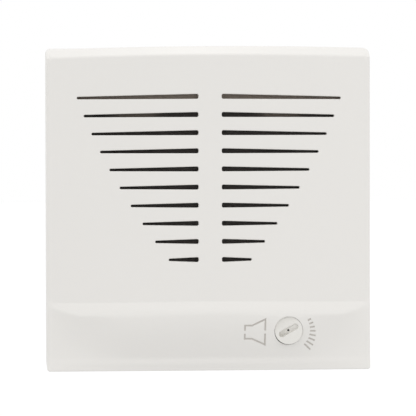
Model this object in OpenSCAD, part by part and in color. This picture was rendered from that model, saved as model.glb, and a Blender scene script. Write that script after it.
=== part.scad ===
// Wall-mounted alarm siren: a square moulded case with a bowed, slotted front and a volume
// control in its lower band, round a small loudspeaker and the board that drives it.
// Millimetres. The wall is the plane y = 0, the front looks along -y and z points up.
// The origin is the middle of the back plate's wall face. A depth is a distance from the wall.

/* [Case] */
// Width of the case
case_w = 90; // [84:1:100]
// Height of the case
case_h = 90; // [86:1:100]
// Depth of the front at its left and right edges
side_depth = 26; // [24:0.5:32]
// How far the middle of the front stands out past its edges
front_bow = 5; // [3:0.25:7]
// Wall thickness of the front cover
wall_t = 2; // [1.5:0.1:2.5]
// Radius of the two upper corners of the outline
corner_r_top = 1.5; // [0.8:0.1:3]
// Radius of the two lower corners of the outline
corner_r_low = 0.8; // [0.5:0.1:3]
// Height of the bevel along the top of the front
bevel_h = 2.4; // [1.5:0.1:3.5]
// Depth of that bevel
bevel_d = 4; // [2:0.25:6]

/* [Lower band] */
// Height of the line where the band starts, above the bottom edge
band_h = 19; // [17:0.5:22]
// Height of the ramp up to the crest of the band
ramp_h = 3.4; // [2.5:0.1:5]
// How far the crest stands out from the face
band_out = 1.3; // [0.8:0.1:2]
// Length over which each end of the band fades into the face
band_end = 9; // [6:0.5:12]
// Turn of the surface where an end starts to fade
end_turn = 3; // [2:0.5:4]
// Height of the upright lip along the bottom
lip_h = 3.5; // [2.5:0.25:5]
// How far the lip stands out past the side edges of the front
lip_out = 2; // [1:0.25:3]
// How far the ends of the lip lie behind its middle
lip_bow = 2.4; // [1:0.2:3]
// Turn of the surface where the band starts to roll under
roll_turn = 8; // [4:0.5:12]

/* [Sound slots] */
// Rows of slots
slot_rows = 10; // [6:1:10]
// Distance between rows
slot_pitch = 5; // [4:0.1:5]
// Distance of the first row below the top edge
slot_drop = 14; // [12:0.5:16]
// Gap between the inner ends of a row's two slots
slot_gap = 6.4; // [4:0.2:10]
// Reach of the longest row to each side of the middle
slot_reach_top = 36.6; // [30:0.2:38]
// Reach of the shortest row to each side of the middle
slot_reach_low = 11.5; // [8:0.5:20]
// Outward bow of the line of outer ends
slot_side_bow = 2.3; // [0:0.1:4]
// How far the outer end of the longest row dips below its inner end
slot_dip = 0.42; // [0:0.02:0.8]
// Slot width at the inner end
slot_w_in = 1.35; // [0.8:0.05:1.6]
// Slot width at the outer end
slot_w_out = 0.7; // [0.5:0.05:1.2]

/* [Lining behind the slots] */
// Length of the felt strip behind the top row
felt_l = 76; // [74:0.5:80]
// Height of the felt strip
felt_h = 4.8; // [4:0.1:6]
// Thickness of the felt strip
felt_t = 1; // [0.6:0.1:1.2]
// Thickness of the dust cloth behind the other rows
cloth_t = 0.25; // [0.2:0.05:0.3]
// Width of cloth glued to the cover beyond the slots
cloth_border = 2; // [1.5:0.1:3]

/* [Volume control] */
// Distance of the knob from the right edge
knob_in = 23.3; // [19:0.1:25]
// Height of the knob above the bottom edge
knob_h = 11.25; // [10.5:0.05:13]
// Diameter of the knob
knob_d = 7.5; // [6.5:0.1:9]
// Gap between the knob and its hole in the cover
knob_gap = 0.3; // [0.2:0.05:0.5]
// Thickness of the knob's disc
knob_t = 2.4; // [1.8:0.1:4]
// Length of the screwdriver notch that is the pointer
notch_l = 5.8; // [4:0.1:6.4]
// Width of the notch
notch_w = 1.7; // [0.8:0.1:2]
// Depth of the notch at its shallow end
notch_t = 0.5; // [0.3:0.05:1]
// Depth of the notch at its deep end
notch_deep = 1.4; // [0.6:0.05:1.6]
// Angle of the pointer at the lowest setting
knob_start = 29; // [20:1:40]
// Turn from the lowest setting to the highest
knob_travel = 72; // [60:1:90]
// Marks on the scale round the knob
tick_count = 8; // [5:1:10]
// Inner radius of the scale
tick_r = 5.9; // [5.2:0.1:6.5]
// Length of the first mark
tick_l_first = 0.9; // [0.6:0.1:2]
// Length of the last mark
tick_l_last = 2.2; // [1:0.1:3]
// Line width of the engraved marks
mark_w = 0.45; // [0.3:0.05:0.7]
// Depth of the engraved marks
mark_d = 0.2; // [0.1:0.05:0.4]

/* [Back plate] */
// Thickness of the back plate
plate_t = 2; // [1.6:0.1:3]
// Height of the rim that the cover pushes onto
rim_h = 7; // [5:0.5:9]
// Thickness of that rim
rim_t = 1.6; // [1.2:0.1:2.2]
// Clearance between the rim and the cover
rim_gap = 0.2; // [0.1:0.05:0.4]
// Distance between the two upper wall screw holes
fixing_w = 68; // [66:0.5:70]
// Distance of the wall screw holes from the top and bottom edges
fixing_edge = 8; // [7.5:0.25:10]
// Diameter of the wall screw holes
fixing_d = 4.2; // [4:0.1:5]
// Width of the cable entry
cable_w = 9; // [7:0.5:10]
// Height of the cable entry
cable_h = 18; // [12:1:24]

/* [Loudspeaker] */
// Diameter of the loudspeaker's frame
speaker_d = 57; // [54:0.5:58]
// Distance of the loudspeaker's middle below the top edge
speaker_drop = 36.5; // [35.5:0.25:37]
// Diameter of the opening in the frame
aperture_d = 44; // [42:0.5:45]
// Thickness of the pressed frame
frame_t = 0.8; // [0.6:0.05:1]
// Depth of the frame from its front to its floor
frame_depth = 8.4; // [8:0.1:9]
// Thickness of the sealing ring
gasket_t = 3; // [2:0.1:4]
// Diameter of the voice coil's former
coil_d = 13; // [12:0.1:13.6]
// Air gap on each side of the coil
air_gap = 0.3; // [0.25:0.01:0.4]
// Diameter of the ring magnet
magnet_d = 32; // [31:0.5:33]
// Thickness of the ring magnet
magnet_t = 4.8; // [4:0.1:5.2]
// Thickness of the magnet's two steel plates
pole_t = 2.3; // [2:0.1:2.6]

/* [Circuit board] */
// Width of the board
board_w = 65; // [64:0.5:66]
// Height of the board
board_h = 20; // [19.5:0.25:21]
// Thickness of the board
board_t = 1.6; // [1.2:0.1:2]
// Gap between the back plate and the board
board_stand = 4; // [3:0.25:5]
// Width of the potentiometer
pot_w = 9.6; // [9:0.1:10]
// Depth of the potentiometer's case
pot_t = 4.8; // [4.4:0.1:6]
// Diameter of the potentiometer's rotor
rotor_d = 6; // [5:0.1:6.4]
// Diameter of the rotor's shaft
shaft_d = 3; // [2.6:0.1:3.4]
// Ways in the terminal block
terminal_ways = 3; // [2:1:3]
// Distance between the ways
terminal_pitch = 5; // [4.8:0.05:5.2]
// Diameter of the main capacitor
cap_d = 8; // [7:0.25:8.5]
// Length of the main capacitor
cap_l = 11.5; // [9:0.25:12]

/* [Hidden] */
$fn = 96;

// Far past everything, for cuts that go right through
far = 200;
// Clearance between pieces of one body that are glued or pressed together
glue = 0.02;
// Clearance between pieces that touch but move apart
touch = 0.1;
// Segments of the large radii
big_fn = 256;

// Front of the case: a drum with an upright axis
face_r = (pow(case_w / 2, 2) + pow(front_bow, 2)) / (2 * front_bow);
crown_d = side_depth + front_bow;
axis_y = face_r - crown_d;
top_z = case_h / 2;
low_z = -case_h / 2;

function face_d(x) = sqrt(pow(face_r, 2) - pow(x, 2)) - axis_y;

// Bevel along the top, set in by a wall's thickness where the inside follows it
bevel_len = norm([bevel_d, bevel_h]);
bevel_nr = bevel_h / bevel_len;
bevel_nz = bevel_d / bevel_len;

function bevel_z(r, inset) =
    top_z - bevel_h - inset * bevel_nz + (face_r - inset * bevel_nr - r) * bevel_h / bevel_d;
function bevel_r(z, inset) =
    face_r - inset * bevel_nr - (z - top_z + bevel_h + inset * bevel_nz) * bevel_d / bevel_h;

// Lower band: a ramp up to a crest, whose ends are arcs that run into the face
ramp_z = low_z + band_h;
crest_z = ramp_z - ramp_h;
crest_d = crown_d + band_out;
band_bite = 1;
end_margin = 0.6;
end_x = case_w / 2 - band_end;
end_p = [end_x, face_d(end_x) + band_out];
end_q = [case_w / 2 - end_margin, face_d(case_w / 2 - end_margin)];
end_a = asin(end_x / face_r) + end_turn;
end_n = [sin(end_a), cos(end_a)];
end_r = -pow(norm(end_q - end_p), 2) / (2 * ((end_q - end_p) * end_n));
end_c = end_p - end_r * end_n;

// Roll from just under the crest to the lip, whose bow is flatter than the face's
roll_gap = 1;
roll_steps = 24;
lip_r = (pow(case_w / 2, 2) + pow(lip_bow, 2)) / (2 * lip_bow);
roll_p = [crest_d, crest_z - roll_gap];
roll_q = [side_depth + lip_out, low_z + lip_h];
roll_n = [cos(roll_turn), -sin(roll_turn)];
roll_r = -pow(norm(roll_q - roll_p), 2) / (2 * ((roll_q - roll_p) * roll_n));
roll_c = roll_p - roll_r * roll_n;

function roll_d(z) = roll_c[0] + sqrt(pow(roll_r, 2) - pow(z - roll_c[1], 2));
function band_d(x, z) =
    sqrt(pow(axis_y + min(crest_d, roll_d(z)), 2) - pow(x, 2)) - axis_y;

// Seat of the cover on the back plate, and the room inside the rim
seat_gap = 0.1;
seat_d = plate_t + seat_gap;
plate_inset = 0.3;
rim_w = case_w - 2 * (wall_t + rim_gap);
rim_tall = case_h - 2 * (wall_t + rim_gap);
room_x = rim_w / 2 - rim_t;
room_z = rim_tall / 2 - rim_t;
rim_d = plate_t + rim_h;
stop_t = 1.2;
stop_w = 3;
stop_l = 6;
grip_w = 10;
grip_h = 4;
grip_t = rim_gap / 2;
pry_w = 10;
pry_t = 1.2;
pry_in = 1.5;

// Wall fixings and cable entry
fixing_boss = fixing_d / 2 + 2;
fixing_boss_t = 1.2;
fixing_len = plate_t + fixing_boss_t;
fixing_x = fixing_w / 2;
fixing_z = top_z - fixing_edge;
cable_gap = 1.2;
cable_x = -room_x + cable_gap + cable_w / 2;
cable_r = 1.5;

// Loudspeaker: every height below is counted forward from the front of its frame
speaker_z = top_z - speaker_drop;
speaker_r = speaker_d / 2;
aperture_r = aperture_d / 2;
surround_t = 0.25;
gasket_gap = 0.3;
gasket_rim = 1.2;
speaker_front = face_d(speaker_r) - wall_t - gasket_gap - gasket_t - surround_t;
floor_e = -frame_depth;
ledge_rise = 1.7;
ledge_e = floor_e + ledge_rise;
wall_e = -2.6;
ledge_in = 0.8;
ledge_w = 2.8;
ledge_r = magnet_d / 2 - ledge_in;
floor_r = ledge_r - ledge_w;
former_t = 0.2;
winding_t = 0.3;
former_r = coil_d / 2;
winding_r = former_r + former_t;
winding_over = 0.5;
winding_l = pole_t + 2 * winding_over;
bore_r = winding_r + winding_t + air_gap;
pole_r = former_r - air_gap;
top_plate_e = floor_e - frame_t;
magnet_e = top_plate_e - pole_t;
yoke_e = magnet_e - magnet_t;
pole_top_e = top_plate_e + touch;
coil_mid_e = top_plate_e - pole_t / 2;
cone_t = 0.4;
edge_w = 2.4;
cone_edge_r = aperture_r - edge_w;
cone_edge_e = -0.6;
neck_r = winding_r + glue;
neck_lift = 0.5;
neck_e = ledge_e + neck_lift;
cap_lap = 1.7;
cap_base_r = former_r + cap_lap;
cap_rise = 2.9;
disc_t = 0.3;
windows = 4;
window_w = 9;

mouth_e = neck_e + 2 * cone_t;

function cone_e(r) = mouth_e + (r - neck_r) * (cone_edge_e - mouth_e) / (cone_edge_r - neck_r);

// Posts that carry the loudspeaker at four points outside its frame
post_r = 3;
post_gap = 0.3;
post_ring = speaker_r + post_gap + post_r;
post_lap = 2.4;
post_step = post_ring - post_lap;
post_top_angle = 60;
post_low_angle = -28;
post_angles = [post_top_angle, 180 - post_top_angle, post_low_angle, 180 - post_low_angle];
pilot_d = 2.4;
pilot_l = 9;
washer_r = 4.2;
washer_t = 0.5;
screw_d = 2.9;
screw_l = 8;
head_r = 2.7;
head_t = 1.7;
slot_cut = 0.7;

// Circuit board and what stands on it
board_gap = 1;
board_d = plate_t + board_stand;
face_board = board_d + board_t;
board_low = -room_z + board_gap;
board_top = board_low + board_h;
board_right = room_x - 2 * board_gap;
board_left = board_right - board_w;
board_post_r = 3;
board_hole = 3.2;
board_pilot = 2.2;
board_screw_d = 2.5;
board_screw_l = 5;
board_head_r = 2.4;
board_head_t = 1.5;
board_in = 3.4;
board_fix = [
    [board_left + board_in, board_top - board_in],
    [board_right - board_in, board_top - board_in],
    [board_right - board_in, board_low + board_in]
];
leg_w = 0.6;
leg_out = 1.4;
leg_hole = leg_w + 0.1;

// Volume control
knob_x = case_w / 2 - knob_in;
knob_z = low_z + knob_h;
knob_r = knob_d / 2;
knob_hole_r = knob_r + knob_gap;
knob_front = band_d(knob_x, knob_z);
collar_t = 1.2;
collar_l = 2.5;
stem_r = shaft_d / 2 + 1;
shaft_l = 4.5;
rotor_gap = 0.06;
rotor_t = 2.2;
lug_a = 9;
lug_out = 1;
lug_gap = 2;
pot_floor = 1.2;
pot_front = face_board + pot_t;
rotor_back = face_board + pot_floor;
stem_back = pot_front + 0.6;
notch_mid = (notch_t + notch_deep) / 2;
notch_tilt = atan2(notch_deep - notch_t, notch_l);
dimple_r = 0.28;
dimple_l = 0.3;
tick_step = knob_travel / (tick_count - 1);
icon_gap_x = 9.6;
icon_drop = 0.4;
icon_tall = 3.8;
icon_wide = 5.7;
icon_right = icon_wide / 2;
icon_neck = 2.0;
icon_half = 3.65;
icon_break = 0.6;

// Terminal block
terminal_w = terminal_ways * terminal_pitch;
terminal_h = 9;
terminal_t = 10;
terminal_in = 2;
terminal_x = board_left + terminal_in + terminal_w / 2;
terminal_z = board_low + terminal_in + terminal_h / 2;
well_r = 1.9;
well_l = 3;
clamp_w = 3.2;
clamp_t = 4;
clamp_wall = 0.5;
clamp_d = face_board + 1.6;
clamp_low = 2 * clamp_wall - terminal_h / 2;
terminal_screw_r = 1.7;

// Small parts
chip_w = 6.4;
chip_l = 9.6;
chip_t = 3.3;
chip_lift = 0.6;
chip_gap = 10.2;
chip_in = 1.4;
chip_x = knob_x - pot_w / 2 - chip_gap;
chip_z = board_low + chip_in + chip_l / 2;
chip_rows = 4;
chip_pitch = 2.54;
chip_span = 7.62;
chip_leg_t = 0.3;
chip_leg_w = 0.5;
cap_in = 0.6;
main_cap_gap = 2.6;
main_cap_x = knob_x - pot_w / 2 - main_cap_gap;
main_cap_z = board_top - cap_in - cap_d / 2;
small_cap_d = 5;
small_cap_l = 9;
small_caps = [
    [board_right - board_in, board_low + board_h / 2],
    [knob_x - pot_w / 2 - cap_in - small_cap_d / 2, board_low + cap_in + small_cap_d / 2]
];
diode_d = 2.6;
diode_l = 5.2;
diode_gap = 6.2;
diode_x = chip_x - chip_span / 2 - diode_gap;
diode_pitch = 3.3;
diode_count = 4;
diode_in = 2.2;
diode_low = board_low + diode_in;
resistor_d = 2.3;
resistor_l = 6.3;
resistor_pitch = 3;
resistor_in = 2;
resistor_z = board_top - resistor_in;
resistor_gap = 10.5;
resistor_shift = 2.6;
resistor_x = [diode_x - resistor_gap, knob_x + resistor_shift];
axial_span = 5;
axial_lift = 0.2;
transistor_r = 2.3;
transistor_t = 4.8;
transistor_lift = 2;
transistor_in = 4.6;
transistor_x = 0;
transistor_z = board_top - transistor_in;

// Tag board and leads
tag_x = 3.5;
tag_w = 2.2;
tag_t = 0.4;
strip_w = 13;
strip_h = 5;
strip_t = 1;
strip_gap = 0.2;
strip_top = speaker_z - aperture_r - frame_t - strip_gap;
tag_in = 1;
tag_out = 3.4;
tag_tip = strip_top - strip_h - tag_out;
strip_back = speaker_front - frame_t - strip_t;
tag_back = strip_back - tag_t;
rivet_r = 0.7;
rivet_head_r = 1;
rivet_head_t = 0.3;
lead_r = 0.6;
lead_sides = 8;
lead_in = 1.2;
lead_start_z = tag_tip + lead_in;
lead_start_d = tag_back - glue;
lead_end_d = face_board + glue;
lead_end_z = board_top - 2 * lead_in;
lead_bow = 3.4;
lead_steps = 20;

// Places the children with their own z looking forward, at a depth d
module forward(d = 0) {
    translate([0, -d, 0]) rotate([90, 0, 0]) children();
}

// A disc, ring or boss that looks forward
module rod(x, z, d0, d1, r) {
    translate([x, 0, z]) forward(d0) cylinder(r = r, h = d1 - d0);
}

// A block between two depths, about the point x, z
module block(x, z, d0, d1, w, h) {
    translate([x - w / 2, -d1, z - h / 2]) cube([w, d1 - d0, h]);
}

// A turned piece of the loudspeaker, from points of radius and height
module turned(points) {
    translate([0, 0, speaker_z]) forward(speaker_front) rotate_extrude() polygon(points);
}

function arc(c, r, a0, a1, n) =
    [for (i = [0 : n]) c + r * [cos(a0 + (a1 - a0) * i / n), sin(a0 + (a1 - a0) * i / n)]];

// Outline of the case seen from the front, with its corners rounded
module outline(inset, r_top, r_low) {
    w = case_w / 2 - inset;
    h = case_h / 2 - inset;
    polygon(concat(
        arc([w - r_top, h - r_top], r_top, 0, 90, 8),
        arc([r_top - w, h - r_top], r_top, 90, 180, 8),
        arc([r_low - w, r_low - h], r_low, 180, 270, 8),
        arc([w - r_low, r_low - h], r_low, 270, 360, 8)));
}

// Drum whose skin is the bowed face, with the bevel at its top
module face_drum(inset) {
    r = face_r - inset;
    top = top_z + bevel_h;
    translate([0, axis_y, 0]) rotate_extrude($fn = big_fn)
        polygon([[0, -case_h], [r, -case_h], [r, bevel_z(r, inset)],
            [bevel_r(top, inset), top], [0, top]]);
}

// Drum of the lower band, with the ramp up to its crest
module band_drum(inset) {
    r = face_r - inset;
    top = ramp_z + band_bite * ramp_h / band_out;
    translate([0, axis_y, 0]) rotate_extrude($fn = big_fn)
        polygon([[0, -case_h], [r + band_out, -case_h], [r + band_out, crest_z],
            [r - band_bite, top], [0, top]]);
}

// Limits the band's ends to their arcs
module band_ends(inset) {
    translate([-end_x, -far, -case_h]) cube([2 * end_x, 2 * far, 2 * case_h]);
    for (s = [-1, 1]) {
        translate([s * end_c[0], -end_c[1], -case_h])
            cylinder(r = end_r - inset, h = 2 * case_h, $fn = big_fn);
    }
}

// Drum of the underside: the roll's arc carried round the face's axis
module roll_drum(inset) {
    top = roll_c[1] + ramp_h;
    roll = arc([roll_c[0] + axis_y, roll_c[1]], roll_r - inset, 0, -90, roll_steps);
    translate([0, axis_y, 0]) rotate_extrude($fn = big_fn)
        polygon(concat([[0, top], [roll[0][0], top]], roll, [[0, roll[roll_steps][1]]]));
}

// Takes away what lies in front of the roll and the lip
module roll_cut(inset) {
    difference() {
        translate([-far / 2, -far, -case_h]) cube([far, far, case_h + roll_c[1]]);
        roll_drum(inset);
        translate([0, lip_r - roll_q[0], -2 * case_h])
            cylinder(r = lip_r - inset, h = 3 * case_h, $fn = big_fn);
    }
}

// Outside of the case, or the same shape set in all over by a wall
module case_body(inset, d0, r_top, r_low) {
    intersection() {
        forward(d0) linear_extrude(far) outline(inset, r_top, r_low);
        difference() {
            union() {
                face_drum(inset);
                intersection() {
                    band_drum(inset);
                    band_ends(inset);
                }
            }
            roll_cut(inset);
        }
    }
}

// One slot: a square-ended wide end at the inside and a round narrow end, a little lower, at the outside
function slot_points(x0, x1) =
    let (r = slot_w_out / 2, c = slot_w_in / 3, h = slot_w_in / 2)
    concat(
        arc([x1 - r, -slot_dip * pow(x1 / slot_reach_top, 2)], r, -90, 90, 8),
        arc([x0 + c, h - c], c, 90, 180, 4),
        arc([x0 + c, c - h], c, 180, 270, 4));

function slot_reach(t) =
    slot_reach_top + (slot_reach_low - slot_reach_top) * t + 4 * slot_side_bow * t * (1 - t);

module slots() {
    for (i = [0 : slot_rows - 1], s = [0, 1]) {
        translate([0, top_z - slot_drop - i * slot_pitch])
            mirror([s, 0])
                polygon(slot_points(slot_gap / 2, slot_reach(i / (slot_rows - 1))));
    }
}

// A layer stuck to the inside of the bowed face, t thick, over the outline given
module lining(t) {
    difference() {
        intersection() {
            face_drum(wall_t + glue);
            forward(side_depth - wall_t - 2 * t) linear_extrude(far) children();
        }
        face_drum(wall_t + glue + t);
    }
}

// A straight engraved line between two points
module line(a, b) {
    v = b - a;
    translate(a) rotate(atan2(v[1], v[0]))
        translate([0, -mark_w / 2]) square([norm(v), mark_w]);
}

// Scale of the volume control, with a loudspeaker sign at its left
module marks() {
    translate([knob_x, knob_z]) {
        for (i = [0 : tick_count - 1]) {
            reach = tick_r + tick_l_first + (tick_l_last - tick_l_first) * i / (tick_count - 1);
            rotate(knob_start - i * tick_step) line([tick_r, 0], [reach, 0]);
        }
        for (s = [-1, 1]) {
            translate([-icon_gap_x, -icon_drop]) {
                line([-icon_right, s * icon_break], [-icon_right, s * icon_tall / 2]);
                line([-icon_right, s * icon_tall / 2], [icon_neck - icon_right, s * icon_tall / 2]);
                line([icon_neck - icon_right, s * icon_tall / 2], [icon_right, s * icon_half]);
                line([icon_right, s * icon_half], [icon_right, s * icon_break]);
            }
        }
    }
}

// Moulded front cover, open at the back, with its slots, knob hole, scale and stops
module front_cover() {
    color([0.89, 0.885, 0.87]) difference() {
        union() {
            difference() {
                case_body(0, seat_d, corner_r_top, corner_r_low);
                case_body(wall_t, 0, touch, touch);
            }
            intersection() {
                case_body(wall_t / 2, 0, touch, touch);
                rod(knob_x, knob_z, knob_front - wall_t - collar_l, crest_d, knob_hole_r + collar_t);
            }
            for (s = [-1, 1], t = [-1, 1]) {
                block(s * (case_w / 2 - wall_t - stop_w / 2 + glue), t * case_h / 4,
                    rim_d + touch, rim_d + touch + stop_l, stop_w, stop_t);
            }
        }
        forward(speaker_front + surround_t) linear_extrude(far) slots();
        rod(knob_x, knob_z, 0, far, knob_hole_r);
        difference() {
            forward(side_depth - wall_t) linear_extrude(far) marks();
            case_body(mark_d, 0, touch, touch);
        }
    }
}

// Places the children at each loudspeaker post, at a distance r from the loudspeaker's axis
module at_posts(r) {
    for (a = post_angles) {
        translate([r * cos(a), 0, speaker_z + r * sin(a)]) children();
    }
}

// Wall plate with the rim for the cover, the loudspeaker's posts and the board's posts
module back_plate() {
    color([0.80, 0.79, 0.77]) difference() {
        union() {
            forward(0) linear_extrude(plate_t)
                outline(plate_inset, corner_r_top, corner_r_low);
            difference() {
                block(0, 0, plate_t - touch, rim_d, rim_w, rim_tall);
                block(0, 0, 0, far, 2 * room_x, 2 * room_z);
            }
            for (s = [-1, 1], t = [-1, 1]) {
                block(s * (rim_w + grip_t) / 2, t * case_h / 4, rim_d - grip_h, rim_d,
                    grip_t + rim_gap / 4, grip_w);
                block(t * case_w / 4, s * (rim_tall + grip_t) / 2, rim_d - grip_h, rim_d,
                    grip_w, grip_t + rim_gap / 4);
            }
            for (p = [[-fixing_x, fixing_z], [fixing_x, fixing_z], [-fixing_x, -fixing_z]]) {
                rod(p[0], p[1], plate_t - touch, fixing_len, fixing_boss);
            }
            at_posts(post_ring) rod(0, 0, plate_t - touch, speaker_front, post_r);
            at_posts(post_step) rod(0, 0, plate_t - touch, speaker_front - frame_t, post_r);
            for (p = board_fix) {
                rod(p[0], p[1], plate_t - touch, board_d, board_post_r);
            }
        }
        for (p = [[-fixing_x, fixing_z], [fixing_x, fixing_z], [-fixing_x, -fixing_z]]) {
            rod(p[0], p[1], -far, far, fixing_d / 2);
        }
        rod(0, speaker_z, speaker_front - frame_t, far, speaker_r + post_gap / 2);
        at_posts(post_ring) rod(0, 0, speaker_front - pilot_l, far, pilot_d / 2);
        for (p = board_fix) {
            rod(p[0], p[1], plate_t, far, board_pilot / 2);
        }
        translate([cable_x, 0, 0]) forward(-far) linear_extrude(2 * far) polygon(concat(
            arc([cable_w / 2 - cable_r, cable_h / 2 - cable_r], cable_r, 0, 90, 6),
            arc([cable_r - cable_w / 2, cable_h / 2 - cable_r], cable_r, 90, 180, 6),
            arc([cable_r - cable_w / 2, cable_r - cable_h / 2], cable_r, 180, 270, 6),
            arc([cable_w / 2 - cable_r, cable_r - cable_h / 2], cable_r, 270, 360, 6)));
        block(0, low_z, plate_t - pry_t, far, pry_w, 2 * pry_in);
    }
}

// Round-ended notch across the knob, whose floor slopes down to the end that is set
module notch() {
    translate([knob_x, 0, knob_z]) forward(knob_front) rotate(knob_start) intersection() {
        translate([0, 0, -knob_t]) union() {
            translate([(notch_w - notch_l) / 2, -notch_w / 2, 0])
                cube([notch_l - notch_w, notch_w, 2 * knob_t]);
            for (s = [-1, 1]) {
                translate([s * (notch_l - notch_w) / 2, 0, 0]) cylinder(r = notch_w / 2, h = 2 * knob_t);
            }
        }
        translate([0, 0, -notch_mid]) rotate([0, -notch_tilt, 0])
            translate([-notch_l, -notch_w, 0]) cube([2 * notch_l, 2 * notch_w, 2 * knob_t]);
    }
}

// Strip of felt stuck inside the cover behind the top row of slots
module felt_strip() {
    x = felt_l / 2;
    z = top_z - slot_drop;
    color([0.5, 0.47, 0.44]) lining(felt_t)
        polygon([[-x, z - felt_h / 2], [x, z - felt_h / 2], [x, z + felt_h / 2], [-x, z + felt_h / 2]]);
}

// Thin dark cloth stuck inside the cover behind the other rows, against dust
module dust_cloth() {
    rows = slot_rows - 1;
    top = top_z - slot_drop - felt_h / 2 - touch;
    low = top_z - slot_drop - rows * slot_pitch - slot_w_in / 2 - cloth_border;
    right = [for (i = [0 : rows]) [slot_reach(i / rows) + cloth_border, top + (low - top) * i / rows]];
    left = [for (i = [rows : -1 : 0]) [-right[i][0], right[i][1]]];
    color([0.2, 0.19, 0.18]) lining(cloth_t) polygon(concat(right, left));
}

// Knob: a flush disc with a notch for its pointer, on a long stem that fits the rotor's shaft
module volume_knob() {
    color([0.89, 0.885, 0.87]) difference() {
        union() {
            rod(knob_x, knob_z, knob_front - knob_t, knob_front, knob_r);
            rod(knob_x, knob_z, stem_back, knob_front - knob_t + touch, stem_r);
        }
        rod(knob_x, knob_z, 0, pot_front + shaft_l + glue, shaft_d / 2 + glue);
        notch();
        rod(knob_x, knob_z, knob_front - notch_mid - dimple_l, far, dimple_r);
    }
}

// A wedge of a circle, between two angles
module wedge(r, a0, a1) {
    polygon(concat([[0, 0]], arc([0, 0], r, a0, a1, 16)));
}

// Case of the potentiometer, with a round seat for the rotor and a pocket for its stop lug
module potentiometer_body() {
    color([0.16, 0.22, 0.42]) difference() {
        block(knob_x, knob_z, face_board + axial_lift, pot_front, pot_w, pot_w);
        rod(knob_x, knob_z, rotor_back, far, rotor_d / 2 + rotor_gap);
        translate([knob_x, 0, knob_z]) forward(pot_front - rotor_t / 2 - touch) linear_extrude(far)
            wedge(rotor_d / 2 + lug_out + touch,
                knob_start - knob_travel - lug_a - lug_gap, knob_start + lug_a + lug_gap);
    }
}

// Rotor that sweeps the track, with its stop lug and the shaft that the knob pushes onto
module potentiometer_rotor() {
    color([0.90, 0.89, 0.84]) {
        rod(knob_x, knob_z, rotor_back + touch, pot_front, rotor_d / 2);
        rod(knob_x, knob_z, pot_front - touch, pot_front + shaft_l, shaft_d / 2);
        translate([knob_x, 0, knob_z]) forward(pot_front - rotor_t / 2) linear_extrude(rotor_t / 2)
            wedge(rotor_d / 2 + lug_out, knob_start - lug_a, knob_start + lug_a);
    }
}

// The potentiometer's three legs, through the board
module potentiometer_legs() {
    color("silver") for (i = [-1 : 1]) {
        block(knob_x + i * pot_w / 3, knob_z - pot_w / 4,
            board_d - leg_out, face_board + axial_lift, leg_w, leg_w);
    }
}

// One square hole for a leg, right through the board
module leg_bore(x, z) {
    block(x, z, 0, far, leg_hole, leg_hole);
}

// Holes for the legs of all the components
module leg_bores() {
    for (i = [-1 : 1]) {
        leg_bore(knob_x + i * pot_w / 3, knob_z - pot_w / 4);
        leg_bore(transistor_x + i * leg_out, transistor_z);
    }
    for (i = [0 : diode_count - 1], s = [-1, 1]) {
        leg_bore(diode_x + s * axial_span, diode_low + i * diode_pitch);
    }
    for (x = resistor_x, i = [0, 1], s = [-1, 1]) {
        leg_bore(x + s * axial_span, resistor_z - i * resistor_pitch);
    }
    for (i = [0 : chip_rows - 1], s = [-1, 1]) {
        leg_bore(chip_x + s * chip_span / 2, chip_z + (i - (chip_rows - 1) / 2) * chip_pitch);
    }
}

// Circuit board, drilled for its screws, legs and leads
module circuit_board() {
    color([0.10, 0.36, 0.20]) difference() {
        block(board_left + board_w / 2, board_low + board_h / 2, board_d, face_board, board_w, board_h);
        for (p = board_fix) {
            rod(p[0], p[1], 0, far, board_hole / 2);
        }
        leg_bores();
    }
}

// A pan-head screw whose head seats at a depth d
module pan_screw(d, r, l, hr, ht) {
    difference() {
        union() {
            rod(0, 0, d - l, d + touch, r);
            rod(0, 0, d, d + ht, hr);
        }
        block(0, 0, d + ht / 2, far, far, slot_cut);
    }
}

// Three screws that hold the board on its posts
module board_screws() {
    color("silver") for (p = board_fix) {
        translate([p[0], 0, p[1]])
            pan_screw(face_board, board_pilot / 2 - glue, board_screw_l, board_head_r, board_head_t);
    }
}

// Places the children at each way of the terminal block
module at_ways() {
    for (i = [0 : terminal_ways - 1]) {
        translate([terminal_x + (i - (terminal_ways - 1) / 2) * terminal_pitch, 0, terminal_z])
            children();
    }
}

// Terminal block: a wire pocket from above and a screw well from the front in each way
module terminal_block() {
    color([0.13, 0.42, 0.24]) difference() {
        block(terminal_x, terminal_z, face_board, face_board + terminal_t, terminal_w, terminal_h);
        at_ways() {
            block(0, clamp_low - glue + far / 2, clamp_d - glue, clamp_d + clamp_t + glue,
                clamp_w + 2 * glue, far);
            rod(0, 0, clamp_d, far, well_r);
        }
    }
}

// A brass cage in each way, which the wire goes into
module terminal_clamps() {
    color([0.80, 0.66, 0.32]) at_ways() difference() {
        block(0, clamp_low / 2 + terminal_h / 4, clamp_d, clamp_d + clamp_t,
            clamp_w, terminal_h / 2 - clamp_low);
        block(0, 0, clamp_d + clamp_wall, clamp_d + clamp_t - 2 * clamp_wall,
            clamp_w - 2 * clamp_wall, far);
        rod(0, 0, clamp_d + clamp_wall, far, terminal_screw_r / 2 + glue);
    }
}

// A slotted screw in each way, which clamps the wire
module terminal_screws() {
    color("silver") at_ways() difference() {
        union() {
            rod(0, 0, clamp_d + clamp_t + glue, face_board + terminal_t - well_l / 2, terminal_screw_r);
            rod(0, 0, clamp_d + clamp_t - 3 * clamp_wall, clamp_d + clamp_t + touch,
                terminal_screw_r / 2);
        }
        block(0, 0, face_board + terminal_t - well_l / 2 - slot_cut, far, far, slot_cut);
    }
}

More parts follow.
